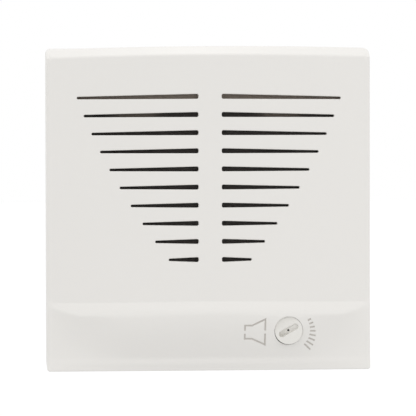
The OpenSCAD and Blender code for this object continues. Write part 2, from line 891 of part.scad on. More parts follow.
// Eight-legged sounder chip
module sounder_chip() {
    color([0.10, 0.10, 0.11]) difference() {
        block(chip_x, chip_z, face_board + chip_lift, face_board + chip_lift + chip_t, chip_w, chip_l);
        rod(chip_x, chip_z + chip_l / 2, face_board + chip_lift + chip_t - chip_leg_t, far, chip_w / 8);
    }
}

// The chip's legs, out of its sides and down through the board
module chip_legs() {
    color("silver") for (i = [0 : chip_rows - 1], s = [-1, 1]) {
        translate([chip_x, 0, chip_z + (i - (chip_rows - 1) / 2) * chip_pitch]) {
            mid = face_board + chip_lift + chip_t / 2;
            w = (chip_span - chip_w + chip_leg_t) / 2;
            block(s * (chip_w / 2 + w / 2), 0, mid - chip_leg_t, mid, w, 3 * chip_leg_w);
            block(s * chip_span / 2, 0, board_d - leg_out, mid, chip_leg_t, chip_leg_w);
        }
    }
}

// An upright can capacitor with a groove above its base and a crimped top
module can(x, z, d, l) {
    r = d / 2;
    groove = d / 20;
    translate([x, 0, z]) forward(face_board) rotate_extrude() polygon([
        [0, 0], [r, 0], [r, l / 8], [r - groove, l / 6], [r, l / 5],
        [r, l - groove], [r - groove, l], [0, l]]);
}

// Supply capacitor
module main_capacitor() {
    color([0.12, 0.16, 0.30]) can(main_cap_x, main_cap_z, cap_d, cap_l);
}

// Two timing capacitors
module small_capacitors() {
    color([0.15, 0.15, 0.17]) for (p = small_caps) {
        can(p[0], p[1], small_cap_d, small_cap_l);
    }
}

// A body lying along x with a leg at each end, bent down through the board
module axial(x, z, d, l) {
    mid = face_board + axial_lift + d / 2;
    translate([x, -mid, z]) rotate([0, 90, 0]) cylinder(d = d, h = l, center = true);
    block(x, z, mid - leg_w / 2, mid + leg_w / 2, 2 * axial_span + leg_w, leg_w);
    for (s = [-1, 1]) {
        block(x + s * axial_span, z, board_d - leg_out, mid, leg_w, leg_w);
    }
}

// Four diodes, so the supply can be connected either way round
module rectifier_diodes() {
    color([0.12, 0.12, 0.13]) for (i = [0 : diode_count - 1]) {
        axial(diode_x, diode_low + i * diode_pitch, diode_d, diode_l);
    }
}

// Two pairs of resistors
module resistors() {
    color([0.78, 0.66, 0.48]) for (x = resistor_x, i = [0, 1]) {
        axial(x, resistor_z - i * resistor_pitch, resistor_d, resistor_l);
    }
}

// Transistor that drives the loudspeaker, with one flat side
module driver_transistor() {
    color([0.11, 0.11, 0.12]) {
        difference() {
            rod(transistor_x, transistor_z, face_board + transistor_lift,
                face_board + transistor_lift + transistor_t, transistor_r);
            block(transistor_x, transistor_z - transistor_r, 0, far, far, transistor_r);
        }
        for (i = [-1 : 1]) {
            block(transistor_x + i * leg_out, transistor_z, board_d - leg_out,
                face_board + transistor_lift + touch, leg_w, leg_w);
        }
    }
}

// Pressed steel frame: a flat rim, a stepped bowl with windows and a floor for the magnet
module speaker_frame() {
    color([0.20, 0.20, 0.21]) difference() {
        turned([
            [bore_r, floor_e], [floor_r, floor_e], [floor_r, ledge_e], [ledge_r, ledge_e],
            [aperture_r - frame_t, wall_e], [aperture_r - frame_t, 0], [speaker_r, 0],
            [speaker_r, -frame_t], [aperture_r, -frame_t], [aperture_r, wall_e - frame_t / 2],
            [ledge_r + frame_t / 2, ledge_e - frame_t], [floor_r + frame_t, ledge_e - frame_t],
            [floor_r + frame_t, floor_e - frame_t], [bore_r, floor_e - frame_t]]);
        for (i = [0 : windows - 1]) {
            translate([0, 0, speaker_z]) forward(speaker_front) rotate(i * 360 / windows + 180 / windows)
                translate([ledge_r + frame_t, -window_w / 2, ledge_e + frame_t])
                    cube([aperture_r - ledge_r - 3 * frame_t, window_w, far / 10 + ledge_e]);
        }
    }
}

// Soft ring that seals the loudspeaker to the inside of the cover
module speaker_gasket() {
    color([0.33, 0.30, 0.28]) turned([
        [aperture_r, surround_t + glue], [speaker_r - gasket_rim, surround_t + glue],
        [speaker_r - gasket_rim, surround_t + gasket_t], [aperture_r, surround_t + gasket_t]]);
}

// Pleated edge of the cone: its flat outer part is glued to the rim of the frame
module cone_surround() {
    w = aperture_r - frame_t - cone_edge_r;
    color([0.09, 0.09, 0.09]) turned([
        [speaker_r - gasket_rim, glue], [speaker_r - gasket_rim, surround_t],
        [aperture_r - frame_t, surround_t],
        [aperture_r - frame_t - w / 3, cone_edge_e / 3 + surround_t],
        [aperture_r - frame_t - 2 * w / 3, cone_edge_e / 2 + surround_t],
        [cone_edge_r + touch, cone_edge_e + surround_t], [cone_edge_r + touch, cone_edge_e],
        [aperture_r - frame_t - 2 * w / 3, cone_edge_e / 2],
        [aperture_r - frame_t - w / 3, cone_edge_e / 3], [aperture_r - frame_t, glue]]);
}

// Paper cone, from the coil's former to the surround
module speaker_cone() {
    color([0.07, 0.07, 0.07]) turned([
        [neck_r, neck_e], [neck_r + cone_t, neck_e], [cone_edge_r, cone_edge_e - cone_t],
        [cone_edge_r, cone_edge_e], [neck_r, mouth_e]]);
}

// Dome that closes the middle of the cone
module dust_cap() {
    base = cone_e(cap_base_r) + cone_t + glue;
    ball = (pow(cap_base_r, 2) + pow(cap_rise, 2)) / (2 * cap_rise);
    mid = base + cap_rise - ball;
    half = asin(cap_base_r / ball);
    color([0.08, 0.08, 0.08]) turned(concat(
        arc([0, mid], ball, 90, 90 - half, 12),
        arc([0, mid], ball - cone_t, 90 - half, 90, 12)));
}

// Paper tube that carries the winding in the magnet's gap
module coil_former() {
    low = coil_mid_e - winding_l;
    color([0.62, 0.45, 0.24]) turned([
        [former_r, low], [winding_r, low], [winding_r, mouth_e], [former_r, mouth_e]]);
}

// Copper winding round the former
module coil_winding() {
    low = coil_mid_e - winding_l / 2;
    top = coil_mid_e + winding_l / 2;
    color([0.72, 0.38, 0.20]) turned([
        [winding_r + glue, low], [winding_r + winding_t, low],
        [winding_r + winding_t, top], [winding_r + glue, top]]);
}

// Corrugated cloth disc that centres the coil, glued to the ledge of the frame
module centring_disc() {
    color([0.70, 0.55, 0.30]) turned([
        [winding_r + glue, ledge_e + glue], [ledge_r - glue, ledge_e + glue],
        [ledge_r - glue, ledge_e + disc_t], [winding_r + glue, ledge_e + disc_t]]);
}

// Steel ring in front of the magnet, round the coil
module magnet_top_plate() {
    color("silver") turned([
        [bore_r, magnet_e], [floor_r + frame_t, magnet_e],
        [floor_r + frame_t, top_plate_e], [bore_r, top_plate_e]]);
}

// Ferrite ring magnet
module ring_magnet() {
    color([0.22, 0.22, 0.23]) turned([
        [bore_r + 1, yoke_e], [magnet_d / 2, yoke_e], [magnet_d / 2, magnet_e], [bore_r + 1, magnet_e]]);
}

// Steel back plate of the magnet, with the pole inside the coil
module magnet_yoke() {
    color("silver") turned([
        [0, yoke_e - pole_t], [floor_r + frame_t, yoke_e - pole_t], [floor_r + frame_t, yoke_e],
        [pole_r, yoke_e], [pole_r, pole_top_e], [0, pole_top_e]]);
}

// Card strip for the loudspeaker's two connections, behind the rim of the frame
module tag_board() {
    color([0.45, 0.28, 0.14]) difference() {
        block(0, strip_top - strip_h / 2, strip_back, speaker_front - frame_t, strip_w, strip_h);
        for (s = [-1, 1]) {
            rod(s * tag_x, strip_top - strip_h / 2, 0, far, rivet_r + glue);
        }
    }
}

// Two flat tags for the leads
module solder_tags() {
    color([0.78, 0.70, 0.45]) difference() {
        for (s = [-1, 1]) {
            block(s * tag_x, (strip_top - tag_in + tag_tip) / 2, tag_back, strip_back,
                tag_w, strip_top - tag_in - tag_tip);
        }
        for (s = [-1, 1]) {
            rod(s * tag_x, strip_top - strip_h / 2, 0, far, rivet_r + glue);
        }
    }
}

// A rivet through each tag
module tag_rivets() {
    color("silver") for (s = [-1, 1]) {
        rod(s * tag_x, strip_top - strip_h / 2,
            tag_back - touch, speaker_front - frame_t - touch, rivet_r);
        rod(s * tag_x, strip_top - strip_h / 2, tag_back - rivet_head_t, tag_back, rivet_head_r);
    }
}

// Four screws beside the rim of the loudspeaker
module speaker_screws() {
    color([0.25, 0.25, 0.26]) at_posts(post_ring)
        pan_screw(speaker_front + washer_t, pilot_d / 2 - glue, screw_l, head_r, head_t);
}

// A washer under each screw, which grips the rim
module speaker_washers() {
    color([0.25, 0.25, 0.26]) at_posts(post_ring) difference() {
        rod(0, 0, speaker_front, speaker_front + washer_t, washer_r);
        rod(0, 0, 0, far, screw_d / 2);
    }
}

// Middle line of a lead: from its tag, out below the loudspeaker and back to the board
function lead_point(t) =
    let (s = pow(sin(90 * t), 2))
    [(1 - s) * lead_start_z + s * lead_end_z - lead_bow * pow(sin(180 * t), 2),
     (1 - t) * lead_start_d + t * lead_end_d];

function lead_turn(t) =
    let (v = lead_point(t + 0.01) - lead_point(t - 0.01)) atan2(v[1], v[0]) - 90;

// One insulated lead, a round tube swept along its middle line
module lead(x) {
    rings = [for (i = [0 : lead_steps]) let (t = i / lead_steps, p = lead_point(t), a = lead_turn(t))
        [for (k = [0 : lead_sides - 1]) let (b = 360 * k / lead_sides, q = lead_r * sin(b))
            [x + lead_r * cos(b), -p[1] - q * sin(a), p[0] + q * cos(a)]]];
    faces = concat(
        [[for (k = [lead_sides - 1 : -1 : 0]) k]],
        [for (i = [0 : lead_steps - 1], k = [0 : lead_sides - 1]) let (n = (k + 1) % lead_sides)
            [i * lead_sides + k, i * lead_sides + n, (i + 1) * lead_sides + n]],
        [for (i = [0 : lead_steps - 1], k = [0 : lead_sides - 1]) let (n = (k + 1) % lead_sides)
            [i * lead_sides + k, (i + 1) * lead_sides + n, (i + 1) * lead_sides + k]],
        [[for (k = [0 : lead_sides - 1]) lead_steps * lead_sides + k]]);
    polyhedron([for (r = rings, p = r) p], faces);
}

// Red lead
module speaker_lead_red() {
    color([0.70, 0.10, 0.08]) lead(tag_x);
}

// Black lead
module speaker_lead_black() {
    color([0.08, 0.08, 0.08]) lead(-tag_x);
}

back_plate();
front_cover();
felt_strip();
dust_cloth();
volume_knob();
potentiometer_body();
potentiometer_rotor();
potentiometer_legs();
circuit_board();
board_screws();
terminal_block();
terminal_clamps();
terminal_screws();
sounder_chip();
chip_legs();
main_capacitor();
small_capacitors();
rectifier_diodes();
resistors();
driver_transistor();
speaker_frame();
speaker_gasket();
cone_surround();
speaker_cone();
dust_cap();
coil_former();
coil_winding();
centring_disc();
magnet_top_plate();
ring_magnet();
magnet_yoke();
tag_board();
solder_tags();
tag_rivets();
speaker_screws();
speaker_washers();
speaker_lead_red();
speaker_lead_black();
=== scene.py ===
import math

import bmesh
import bpy
import numpy as np
from mathutils import Matrix, Vector
from mathutils.geometry import delaunay_2d_cdt


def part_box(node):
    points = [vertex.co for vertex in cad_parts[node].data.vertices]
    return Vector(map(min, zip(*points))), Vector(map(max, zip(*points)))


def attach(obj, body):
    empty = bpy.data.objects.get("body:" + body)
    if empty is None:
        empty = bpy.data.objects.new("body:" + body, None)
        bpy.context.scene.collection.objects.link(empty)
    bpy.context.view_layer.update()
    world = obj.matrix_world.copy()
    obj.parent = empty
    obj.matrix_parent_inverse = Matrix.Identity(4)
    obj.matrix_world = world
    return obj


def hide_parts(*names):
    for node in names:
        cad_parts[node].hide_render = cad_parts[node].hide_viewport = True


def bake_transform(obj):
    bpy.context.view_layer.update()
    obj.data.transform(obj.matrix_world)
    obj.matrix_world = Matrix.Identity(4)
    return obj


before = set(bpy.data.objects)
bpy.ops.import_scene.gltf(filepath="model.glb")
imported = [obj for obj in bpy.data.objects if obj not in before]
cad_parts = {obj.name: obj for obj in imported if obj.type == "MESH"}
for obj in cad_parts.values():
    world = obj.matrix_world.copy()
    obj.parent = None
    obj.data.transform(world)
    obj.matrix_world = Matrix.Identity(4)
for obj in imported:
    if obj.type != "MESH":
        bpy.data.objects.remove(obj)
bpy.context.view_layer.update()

# Back plate: the grey-white moulding that is screwed to the wall. It carries the rim that the
# cover is pushed onto, the posts for the loudspeaker and the board, and the cable entry.
MM = 0.001
MERGE = 0.002 * MM
FLAT_ANGLE = math.radians(0.5)
CORNER_ANGLE = math.radians(30)
PLATE_EDGE = 0.2


def shade(r, g, b):
    """Linear colour of an 8-bit screen colour: the screen curve undone."""
    c = np.array([r, g, b]) / 255
    linear = np.where(c <= 0.04045, c / 12.92, ((c + 0.055) / 1.055) ** 2.4)
    return (*linear.tolist(), 1.0)


def math_node(nodes, operation, *values):
    """A math node with its fixed inputs set. None leaves an input to its link."""
    made = nodes.new("ShaderNodeMath")
    made.operation = operation
    for place, value in enumerate(values):
        if value is not None:
            made.inputs[place].default_value = value
    return made


def grain_group():
    """Surface grain: a fine noise for the skin and a broad one for the drift of colour and gloss. The
    second colour shows by 0.6 of the broad noise plus the fleck's share of the fine one."""
    group = bpy.data.node_groups.new("surface_grain", "ShaderNodeTree")
    given = {"Colour": (0.8, 0.8, 0.8, 1), "Second Colour": (0.7, 0.7, 0.7, 1), "Grains per Metre": 2500.0,
             "Drifts per Metre": 60.0, "Fleck": 0.3, "Roughness": 0.5, "Roughness Spread": 0.12}
    for name, value in given.items():
        kind = "NodeSocketFloat" if isinstance(value, float) else "NodeSocketColor"
        group.interface.new_socket(name, in_out="INPUT", socket_type=kind).default_value = value
    for name, kind in (("Colour", "NodeSocketColor"), ("Roughness", "NodeSocketFloat"),
                       ("Height", "NodeSocketFloat")):
        group.interface.new_socket(name, in_out="OUTPUT", socket_type=kind)
    nodes, links = group.nodes, group.links
    source = nodes.new("NodeGroupInput")
    out = nodes.new("NodeGroupOutput")
    place = nodes.new("ShaderNodeTexCoord")
    fine = nodes.new("ShaderNodeTexNoise")
    broad = nodes.new("ShaderNodeTexNoise")
    fine.inputs["Detail"].default_value = 3
    broad.inputs["Detail"].default_value = 2
    links.new(place.outputs["Object"], fine.inputs["Vector"])
    links.new(place.outputs["Object"], broad.inputs["Vector"])
    links.new(source.outputs["Grains per Metre"], fine.inputs["Scale"])
    links.new(source.outputs["Drifts per Metre"], broad.inputs["Scale"])
    fleck = math_node(nodes, "MULTIPLY")
    links.new(fine.outputs["Fac"], fleck.inputs[0])
    links.new(source.outputs["Fleck"], fleck.inputs[1])
    share = math_node(nodes, "MULTIPLY_ADD", None, 0.6)
    share.use_clamp = True
    links.new(broad.outputs["Fac"], share.inputs[0])
    links.new(fleck.outputs[0], share.inputs[2])
    mix = nodes.new("ShaderNodeMix")
    mix.data_type = "RGBA"
    links.new(share.outputs[0], mix.inputs["Factor"])
    links.new(source.outputs["Colour"], mix.inputs["A"])
    links.new(source.outputs["Second Colour"], mix.inputs["B"])
    links.new(mix.outputs["Result"], out.inputs["Colour"])
    centred = math_node(nodes, "SUBTRACT", None, 0.5)
    links.new(broad.outputs["Fac"], centred.inputs[0])
    rough = math_node(nodes, "MULTIPLY_ADD")
    links.new(centred.outputs[0], rough.inputs[0])
    links.new(source.outputs["Roughness Spread"], rough.inputs[1])
    links.new(source.outputs["Roughness"], rough.inputs[2])
    links.new(rough.outputs[0], out.inputs["Roughness"])
    links.new(fine.outputs["Fac"], out.inputs["Height"])
    return group


surface_grain = grain_group()


def finish(name, colour, second, roughness, grains=2500, fleck=0.3, relief=0.004, metallic=0.0,
           stain=None, painted=False):
    """Procedural finish: the grain group drives colour, roughness and a bump of `relief` millimetres.
    A colour can be laid over the grain through a point attribute named like the keyword that gives it:
    near black as painted shade in the knob's pit, a lighter grey as a painted pool of light on the dust
    cloth, and grey inside the cover's engraved marks. A painted piece takes its colour from the point
    attribute paint."""
    material = bpy.data.materials.new(name)
    material.use_nodes = True
    nodes, links = material.node_tree.nodes, material.node_tree.links
    shader = nodes["Principled BSDF"]
    shader.inputs["Metallic"].default_value = metallic
    grain = nodes.new("ShaderNodeGroup")
    grain.node_tree = surface_grain
    own = {"Colour": colour, "Second Colour": second, "Grains per Metre": grains, "Fleck": fleck,
           "Roughness": roughness}
    for key, value in own.items():
        grain.inputs[key].default_value = value
    skin_colour = grain.outputs["Colour"]
    if painted or stain:
        laid = nodes.new("ShaderNodeAttribute")
        laid.attribute_name = "paint" if painted else "stain"
        mix = nodes.new("ShaderNodeMix")
        mix.data_type = "RGBA"
        links.new(skin_colour, mix.inputs["A"])
        if painted:
            mix.blend_type = "MULTIPLY"
            mix.inputs["Factor"].default_value = 1.0
            links.new(laid.outputs["Color"], mix.inputs["B"])
        else:
            mix.inputs["B"].default_value = stain
            links.new(laid.outputs["Fac"], mix.inputs["Factor"])
        skin_colour = mix.outputs["Result"]
    bump = nodes.new("ShaderNodeBump")
    bump.inputs["Distance"].default_value = relief * MM
    links.new(grain.outputs["Height"], bump.inputs["Height"])
    links.new(skin_colour, shader.inputs["Base Color"])
    links.new(grain.outputs["Roughness"], shader.inputs["Roughness"])
    links.new(bump.outputs["Normal"], shader.inputs["Normal"])
    return material


def settle(name, mesh, material, body, nodes, sharp):
    """A finished mesh as a piece: smooth faces, edges above the sharp angle left crisp. It rides on a
    body when one is given, and stands for the named CAD nodes, which it hides."""
    mesh.shade_smooth()
    mesh.set_sharp_from_angle(angle=math.radians(sharp))
    mesh.materials.append(material)
    piece = bpy.data.objects.new(name, mesh)
    bpy.context.scene.collection.objects.link(piece)
    if body:
        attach(piece, body)
    if nodes:
        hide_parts(*nodes)
    return piece


def eased(name, node, width, material, body, sharp=35):
    """A CAD node's own shape with its edges eased: a merged copy whose flat faces are joined and whose
    corners above the corner angle get a round of `width` millimetres. The flat faces stay flat in the
    shading."""
    made = bmesh.new()
    made.from_mesh(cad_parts[node].data)
    bmesh.ops.remove_doubles(made, verts=made.verts, dist=MERGE)
    bmesh.ops.dissolve_limit(made, angle_limit=FLAT_ANGLE, verts=made.verts, edges=made.edges)
    corners = [e for e in made.edges if e.is_manifold and e.calc_face_angle() > CORNER_ANGLE]
    bmesh.ops.bevel(made, geom=corners, offset=width * MM, segments=2, profile=0.5,
                    affect="EDGES", clamp_overlap=True)
    bmesh.ops.dissolve_degenerate(made, dist=MERGE, edges=made.edges)
    mesh = bpy.data.meshes.new(name)
    made.to_mesh(mesh)
    made.free()
    piece = settle(name, mesh, material, body, [node], sharp)
    piece.modifiers.new("flat_faces", "WEIGHTED_NORMAL").keep_sharp = True
    return piece


plate_plastic = finish("plate_moulding", shade(206, 203, 197), shade(196, 193, 187), 0.55,
                       grains=1500, relief=0.006)
eased("back_plate_moulding", "back_plate", PLATE_EDGE, plate_plastic, "base")

# Circuit board: green glass laminate with copper tracks under the lacquer, tinned pads round the
# legs and white outlines printed for the components. Three zinc screws hold it on the plate's posts.


def span(node):
    """A CAD node's box in millimetres: left, right, back depth, front depth, bottom, top."""
    low, high = np.array(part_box(node)) / MM
    return low[0], high[0], -high[1], -low[1], low[2], high[2]


def middle_of(box):
    """Middle of a box, seen from the front: x and z."""
    return np.array([(box[0] + box[1]) / 2, (box[4] + box[5]) / 2])


def half_width(box):
    """Half of a box from side to side, which is the radius of a round piece."""
    return (box[1] - box[0]) / 2


BOARD = span("circuit_board")
board_face = BOARD[3]
DIODE = span("rectifier_diodes")
DIODE_D = 2.6
DIODE_L = 5.2
diode_x = middle_of(DIODE)[0]
diode_z = np.linspace(DIODE[4] + DIODE_D / 2, DIODE[5] - DIODE_D / 2, 4)
RESISTOR_D = 2.3
RESISTOR_L = 6.3
RESISTOR_PITCH = 3.0
RESISTOR = span("resistors")
AXIAL_SPAN = 5.0
LEG_R = 0.3
resistor_x = np.array([RESISTOR[0], RESISTOR[1]]) + [AXIAL_SPAN + LEG_R, -AXIAL_SPAN - LEG_R]
resistor_z = RESISTOR[5] - RESISTOR_D / 2 - np.array([0, RESISTOR_PITCH])
CHIP = span("sounder_chip")
CHIP_LEGS = span("chip_legs")
PIN_PITCH = 2.54
chip_mid = middle_of(CHIP)
chip_leg_z = chip_mid[1] + PIN_PITCH * (np.arange(4) - 1.5)
POT = span("potentiometer_body")
POT_LEGS = span("potentiometer_legs")
pot_mid = middle_of(POT)
pot_leg_x = np.linspace(POT_LEGS[0] + LEG_R, POT_LEGS[1] - LEG_R, 3)
pot_leg_z = middle_of(POT_LEGS)[1]
TRANSISTOR = span("driver_transistor")
TRANSISTOR_R = 2.3
TRANSISTOR_PITCH = 1.4
transistor_x = middle_of(TRANSISTOR)[0]
transistor_z = TRANSISTOR[5] - TRANSISTOR_R
transistor_legs = transistor_x + TRANSISTOR_PITCH * np.arange(-1, 2)
BLOCK = span("terminal_block")
BLOCK_PITCH = 5.0
block_mid = middle_of(BLOCK)
block_x = block_mid[0] + BLOCK_PITCH * np.arange(-1, 2)
block_z = block_mid[1]
MAIN_CAN = span("main_capacitor")
main_can, main_r = middle_of(MAIN_CAN), half_width(MAIN_CAN)
SMALL_CANS = span("small_capacitors")
SMALL_CAN_R = 2.5
small_cans = np.array([[SMALL_CANS[1] - SMALL_CAN_R, SMALL_CANS[5] - SMALL_CAN_R],
                       [SMALL_CANS[0] + SMALL_CAN_R, SMALL_CANS[4] + SMALL_CAN_R]])
LEAD_X = 3.5
LEAD_IN = 2.4
lead_z = BOARD[5] - LEAD_IN
TRACK_W = 0.9
PRINT_W = 0.18
LACQUER = 0.04
SUNK = 0.02
SCREW_EDGE = 0.18


def grid_faces(rows, cols, close_rows=True, close_cols=True):
    """Quads of a grid of rows by cols points, closed up or left open each way."""
    i = np.arange(rows if close_rows else rows - 1)[:, None]
    j = np.arange(cols if close_cols else cols - 1)[None, :]
    n, m = (i + 1) % rows, (j + 1) % cols
    return np.stack([i * cols + j, i * cols + m, n * cols + m, n * cols + j], 2).reshape(-1, 4)


def gather(shapes):
    """Several (points, faces) shapes as one."""
    at = np.cumsum([0] + [len(p) for p, _ in shapes])
    faces = [(np.asarray(f) + n).tolist() for (_, f), n in zip(shapes, at)]
    return np.concatenate([p for p, _ in shapes]), sum(faces, [])


def turned(outline, middle, count=48):
    """An outline of (radius, depth) that starts and ends on the axis, or closes on itself, carried
    round the forward axis through `middle`."""
    outline = np.asarray(outline, float)
    a = np.linspace(0, 2 * math.pi, count, endpoint=False)
    r, d = outline[:, :1], outline[:, 1:]
    points = np.stack(np.broadcast_arrays(middle[0] + r * np.cos(a), -d, middle[1] + r * np.sin(a)), 2)
    return points.reshape(-1, 3), grid_faces(len(outline), count, outline[0, 0] > 0)


def strips(lines, width, low, high):
    """Flat strips along broken lines of (x, z): each length is a thin box between two depths, half a
    width longer at both ends so that the lengths of a line run into each other."""
    a = np.concatenate([np.asarray(line, float)[:-1] for line in lines])
    b = np.concatenate([np.asarray(line, float)[1:] for line in lines])
    along = (b - a) / np.linalg.norm(b - a, axis=1)[:, None]
    across = np.stack([-along[:, 1], along[:, 0]], 1) * width / 2
    a, b = a - along * width / 2, b + along * width / 2
    flat = np.stack([a - across, b - across, b + across, a + across], 1)
    flat = np.concatenate([flat, flat], 1)
    depth = np.broadcast_to(np.repeat([low, high], 4), flat.shape[:2])
    points = np.stack([flat[..., 0], -depth, flat[..., 1]], 2).reshape(-1, 3)
    box = np.array([[0, 1, 2, 3], [7, 6, 5, 4], [0, 4, 5, 1], [1, 5, 6, 2], [2, 6, 7, 3], [3, 7, 4, 0]])
    return points, (box + 8 * np.arange(len(a))[:, None, None]).reshape(-1, 4)


def loop_line(middle, wide, tall, gap=0.0):
    """A closed rectangle line about a middle, let out by a gap."""
    w, t = wide / 2 + gap, tall / 2 + gap
    return np.array([[-w, -t], [w, -t], [w, t], [-w, t], [-w, -t]]) + middle


def round_line(middle, radius, count=32):
    """A circle line about a middle, in even steps."""
    a = np.linspace(0, 2 * math.pi, count + 1)
    return np.stack([middle[0] + radius * np.cos(a), middle[1] + radius * np.sin(a)], 1)


def dress(material, *nodes):
    """Gives CAD nodes their finish."""
    for node in nodes:
        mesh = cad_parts[node].data
        mesh.materials.clear()
        mesh.materials.append(material)


def put(name, shape, material, body, slot, *nodes, sharp=35, **laid):
    """A closed piece from (points in millimetres, faces): doubles merged and faces turned outward.
    Each further value is a point attribute, one number or one colour for every point."""
    points, faces = shape
    mesh = bpy.data.meshes.new(name)
    faces = faces.tolist() if isinstance(faces, np.ndarray) else faces
    mesh.from_pydata((points * MM).tolist(), [], faces)
    for key, values in laid.items():
        colour = values.ndim == 2
        layer = mesh.attributes.new(key, "FLOAT_COLOR" if colour else "FLOAT", "POINT")
        layer.data.foreach_set("color" if colour else "value", values.astype(np.float32).ravel())
    made = bmesh.new()
    made.from_mesh(mesh)
    bmesh.ops.remove_doubles(made, verts=made.verts, dist=MERGE / 2)
    bmesh.ops.recalc_face_normals(made, faces=made.faces)
    made.to_mesh(mesh)
    made.free()
    return settle(name, mesh, material, body, nodes, sharp)


laminate = finish("board_laminate", shade(30, 96, 56), shade(24, 82, 46), 0.36, grains=1100,
                  fleck=0.5, relief=0.006)
dress(laminate, "circuit_board")
rail_low, rail_top = BOARD[4] + 0.9, BOARD[5] - 0.8
axial_left, axial_right = diode_x - AXIAL_SPAN, diode_x + AXIAL_SPAN
tracks = [
    [(block_x[0], block_z), (block_x[0], rail_low), (axial_left, rail_low), (axial_left, diode_z[0])],
    [(block_x[1], block_z), (block_x[1], BLOCK[5] + 0.9), (axial_left, diode_z[3])],
    [(axial_left, diode_z[1]), (axial_left, diode_z[2])],
    [(axial_right, diode_z[0]), (axial_right, diode_z[3])],
    [(axial_right, diode_z[3]), (main_can[0] - 3, main_can[1] - 3), (main_can[0], main_can[1])],
    [(resistor_x[0] - AXIAL_SPAN, resistor_z[0]), (resistor_x[0] - AXIAL_SPAN, resistor_z[1])],
    [(resistor_x[0] + AXIAL_SPAN, resistor_z[1]), (transistor_legs[0], transistor_z)],
    [(transistor_legs[1], transistor_z), (LEAD_X, lead_z)],
    [(-LEAD_X, lead_z), (-LEAD_X, rail_top), (resistor_x[0] + AXIAL_SPAN, rail_top),
     (resistor_x[0] + AXIAL_SPAN, resistor_z[0])],
    [(transistor_legs[2], transistor_z), (CHIP_LEGS[0] + 0.2, chip_leg_z[3])],
    [(CHIP_LEGS[1] - 0.2, chip_leg_z[2]), (pot_leg_x[0], pot_leg_z + 2), (pot_leg_x[0], pot_leg_z)],
    [(CHIP_LEGS[1] - 0.2, chip_leg_z[0]), (small_cans[1][0], small_cans[1][1])],
    [(pot_leg_x[1], pot_leg_z), (pot_leg_x[1], rail_low), (pot_leg_x[2] + 3, rail_low)],
    [(pot_leg_x[2], pot_leg_z), (small_cans[0][0], small_cans[0][1])],
    [(resistor_x[1] - AXIAL_SPAN, resistor_z[1]), (pot_leg_x[0], POT[5] + 0.8)],
    [(resistor_x[1] + AXIAL_SPAN, resistor_z[0]), (resistor_x[1] + AXIAL_SPAN, resistor_z[1])],
]
track_finish = finish("board_tracks", shade(52, 124, 74), shade(44, 112, 64), 0.34, grains=1500)
put("board_tracks", strips(tracks, TRACK_W, board_face - SUNK, board_face + LACQUER), track_finish,
    "base", "board_laminate")
CASE_GAP, CAN_GAP, AXIAL_GAP = 0.4, 0.35, 0.2
printed = [loop_line(chip_mid, CHIP[1] - CHIP[0], CHIP[5] - CHIP[4], CASE_GAP + 0.1),
           loop_line(pot_mid, POT[1] - POT[0], POT[5] - POT[4], CASE_GAP),
           loop_line(block_mid, BLOCK[1] - BLOCK[0], BLOCK[5] - BLOCK[4], CASE_GAP),
           round_line(main_can, main_r + CAN_GAP)]
printed += [round_line(p, SMALL_CAN_R + CAN_GAP) for p in small_cans]
printed += [loop_line((diode_x, z), DIODE_L, DIODE_D, AXIAL_GAP) for z in diode_z]
printed += [loop_line((x, z), RESISTOR_L, RESISTOR_D, AXIAL_GAP) for x in resistor_x for z in resistor_z]
print_white = finish("board_print", shade(226, 226, 220), shade(214, 214, 208), 0.6)
put("board_print", strips(printed, PRINT_W, board_face - SUNK, board_face + LACQUER / 2), print_white,
    "base", "board_laminate")
pads = [(x, pot_leg_z) for x in pot_leg_x] + [(x, transistor_z) for x in transistor_legs]
pads += [(x, z) for x in (axial_left, axial_right) for z in diode_z]
pads += [(x + s, z) for x in resistor_x for s in (-AXIAL_SPAN, AXIAL_SPAN) for z in resistor_z]
pads += [(x, z) for x in (CHIP_LEGS[0] + 0.15, CHIP_LEGS[1] - 0.15) for z in chip_leg_z]
PAD = np.array([[0.42, -0.05], [0.75, -0.05], [0.75, 0.05], [0.62, 0.12], [0.45, 0.3], [0.42, 0.3]])
tinned = finish("tinned_metal", shade(206, 206, 208), shade(182, 182, 186), 0.3, grains=1200,
                relief=0.004, metallic=1.0)
put("board_pads", gather([turned(PAD + [0, board_face], p, 20) for p in pads]), tinned, "base", "tinned")
zinc = finish("zinc_plating", shade(196, 196, 192), shade(172, 173, 174), 0.32, grains=900,
              relief=0.004, metallic=1.0)
eased("board_screws_zinc", "board_screws", SCREW_EDGE, zinc, "base")

# Potentiometer: a blue moulded case, soldered to the board by three tinned legs, and a cream rotor
# whose shaft carries the knob.
POT_EDGE = 0.3
ROTOR_EDGE = 0.12
pot_blue = finish("pot_case", shade(44, 70, 128), shade(36, 58, 112), 0.45, grains=1400)
eased("potentiometer_case", "potentiometer_body", POT_EDGE, pot_blue, "base")
cream = finish("rotor_moulding", shade(228, 222, 206), shade(216, 210, 194), 0.5, grains=1600)
eased("potentiometer_shaft", "potentiometer_rotor", ROTOR_EDGE, cream, "knob")
dress(tinned, "potentiometer_legs")

# Terminal block: a green moulded housing with a brass cage and a slotted screw in each of its three
# ways, soldered to the board at its lower left.
BLOCK_EDGE = 0.3
CLAMP_EDGE = 0.12
block_green = finish("terminal_moulding", shade(44, 124, 74), shade(36, 108, 62), 0.45, grains=1400)
eased("terminal_housing", "terminal_block", BLOCK_EDGE, block_green, "base")
brass = finish("brass", shade(214, 180, 100), shade(190, 154, 82), 0.3, grains=1100, metallic=1.0)
dress(brass, "terminal_clamps")
eased("terminal_clamp_screws", "terminal_screws", CLAMP_EDGE, zinc, "base")

# Sounder chip: a black epoxy body, matt from its mould, with eight tinned legs in two rows that are
# soldered to the board's pads.
CHIP_EDGE = 0.22
epoxy = finish("black_epoxy", shade(40, 40, 42), shade(50, 50, 52), 0.62, grains=2600, relief=0.01)
eased("sounder_chip_body", "sounder_chip", CHIP_EDGE, epoxy, "base")
dress(tinned, "chip_legs")

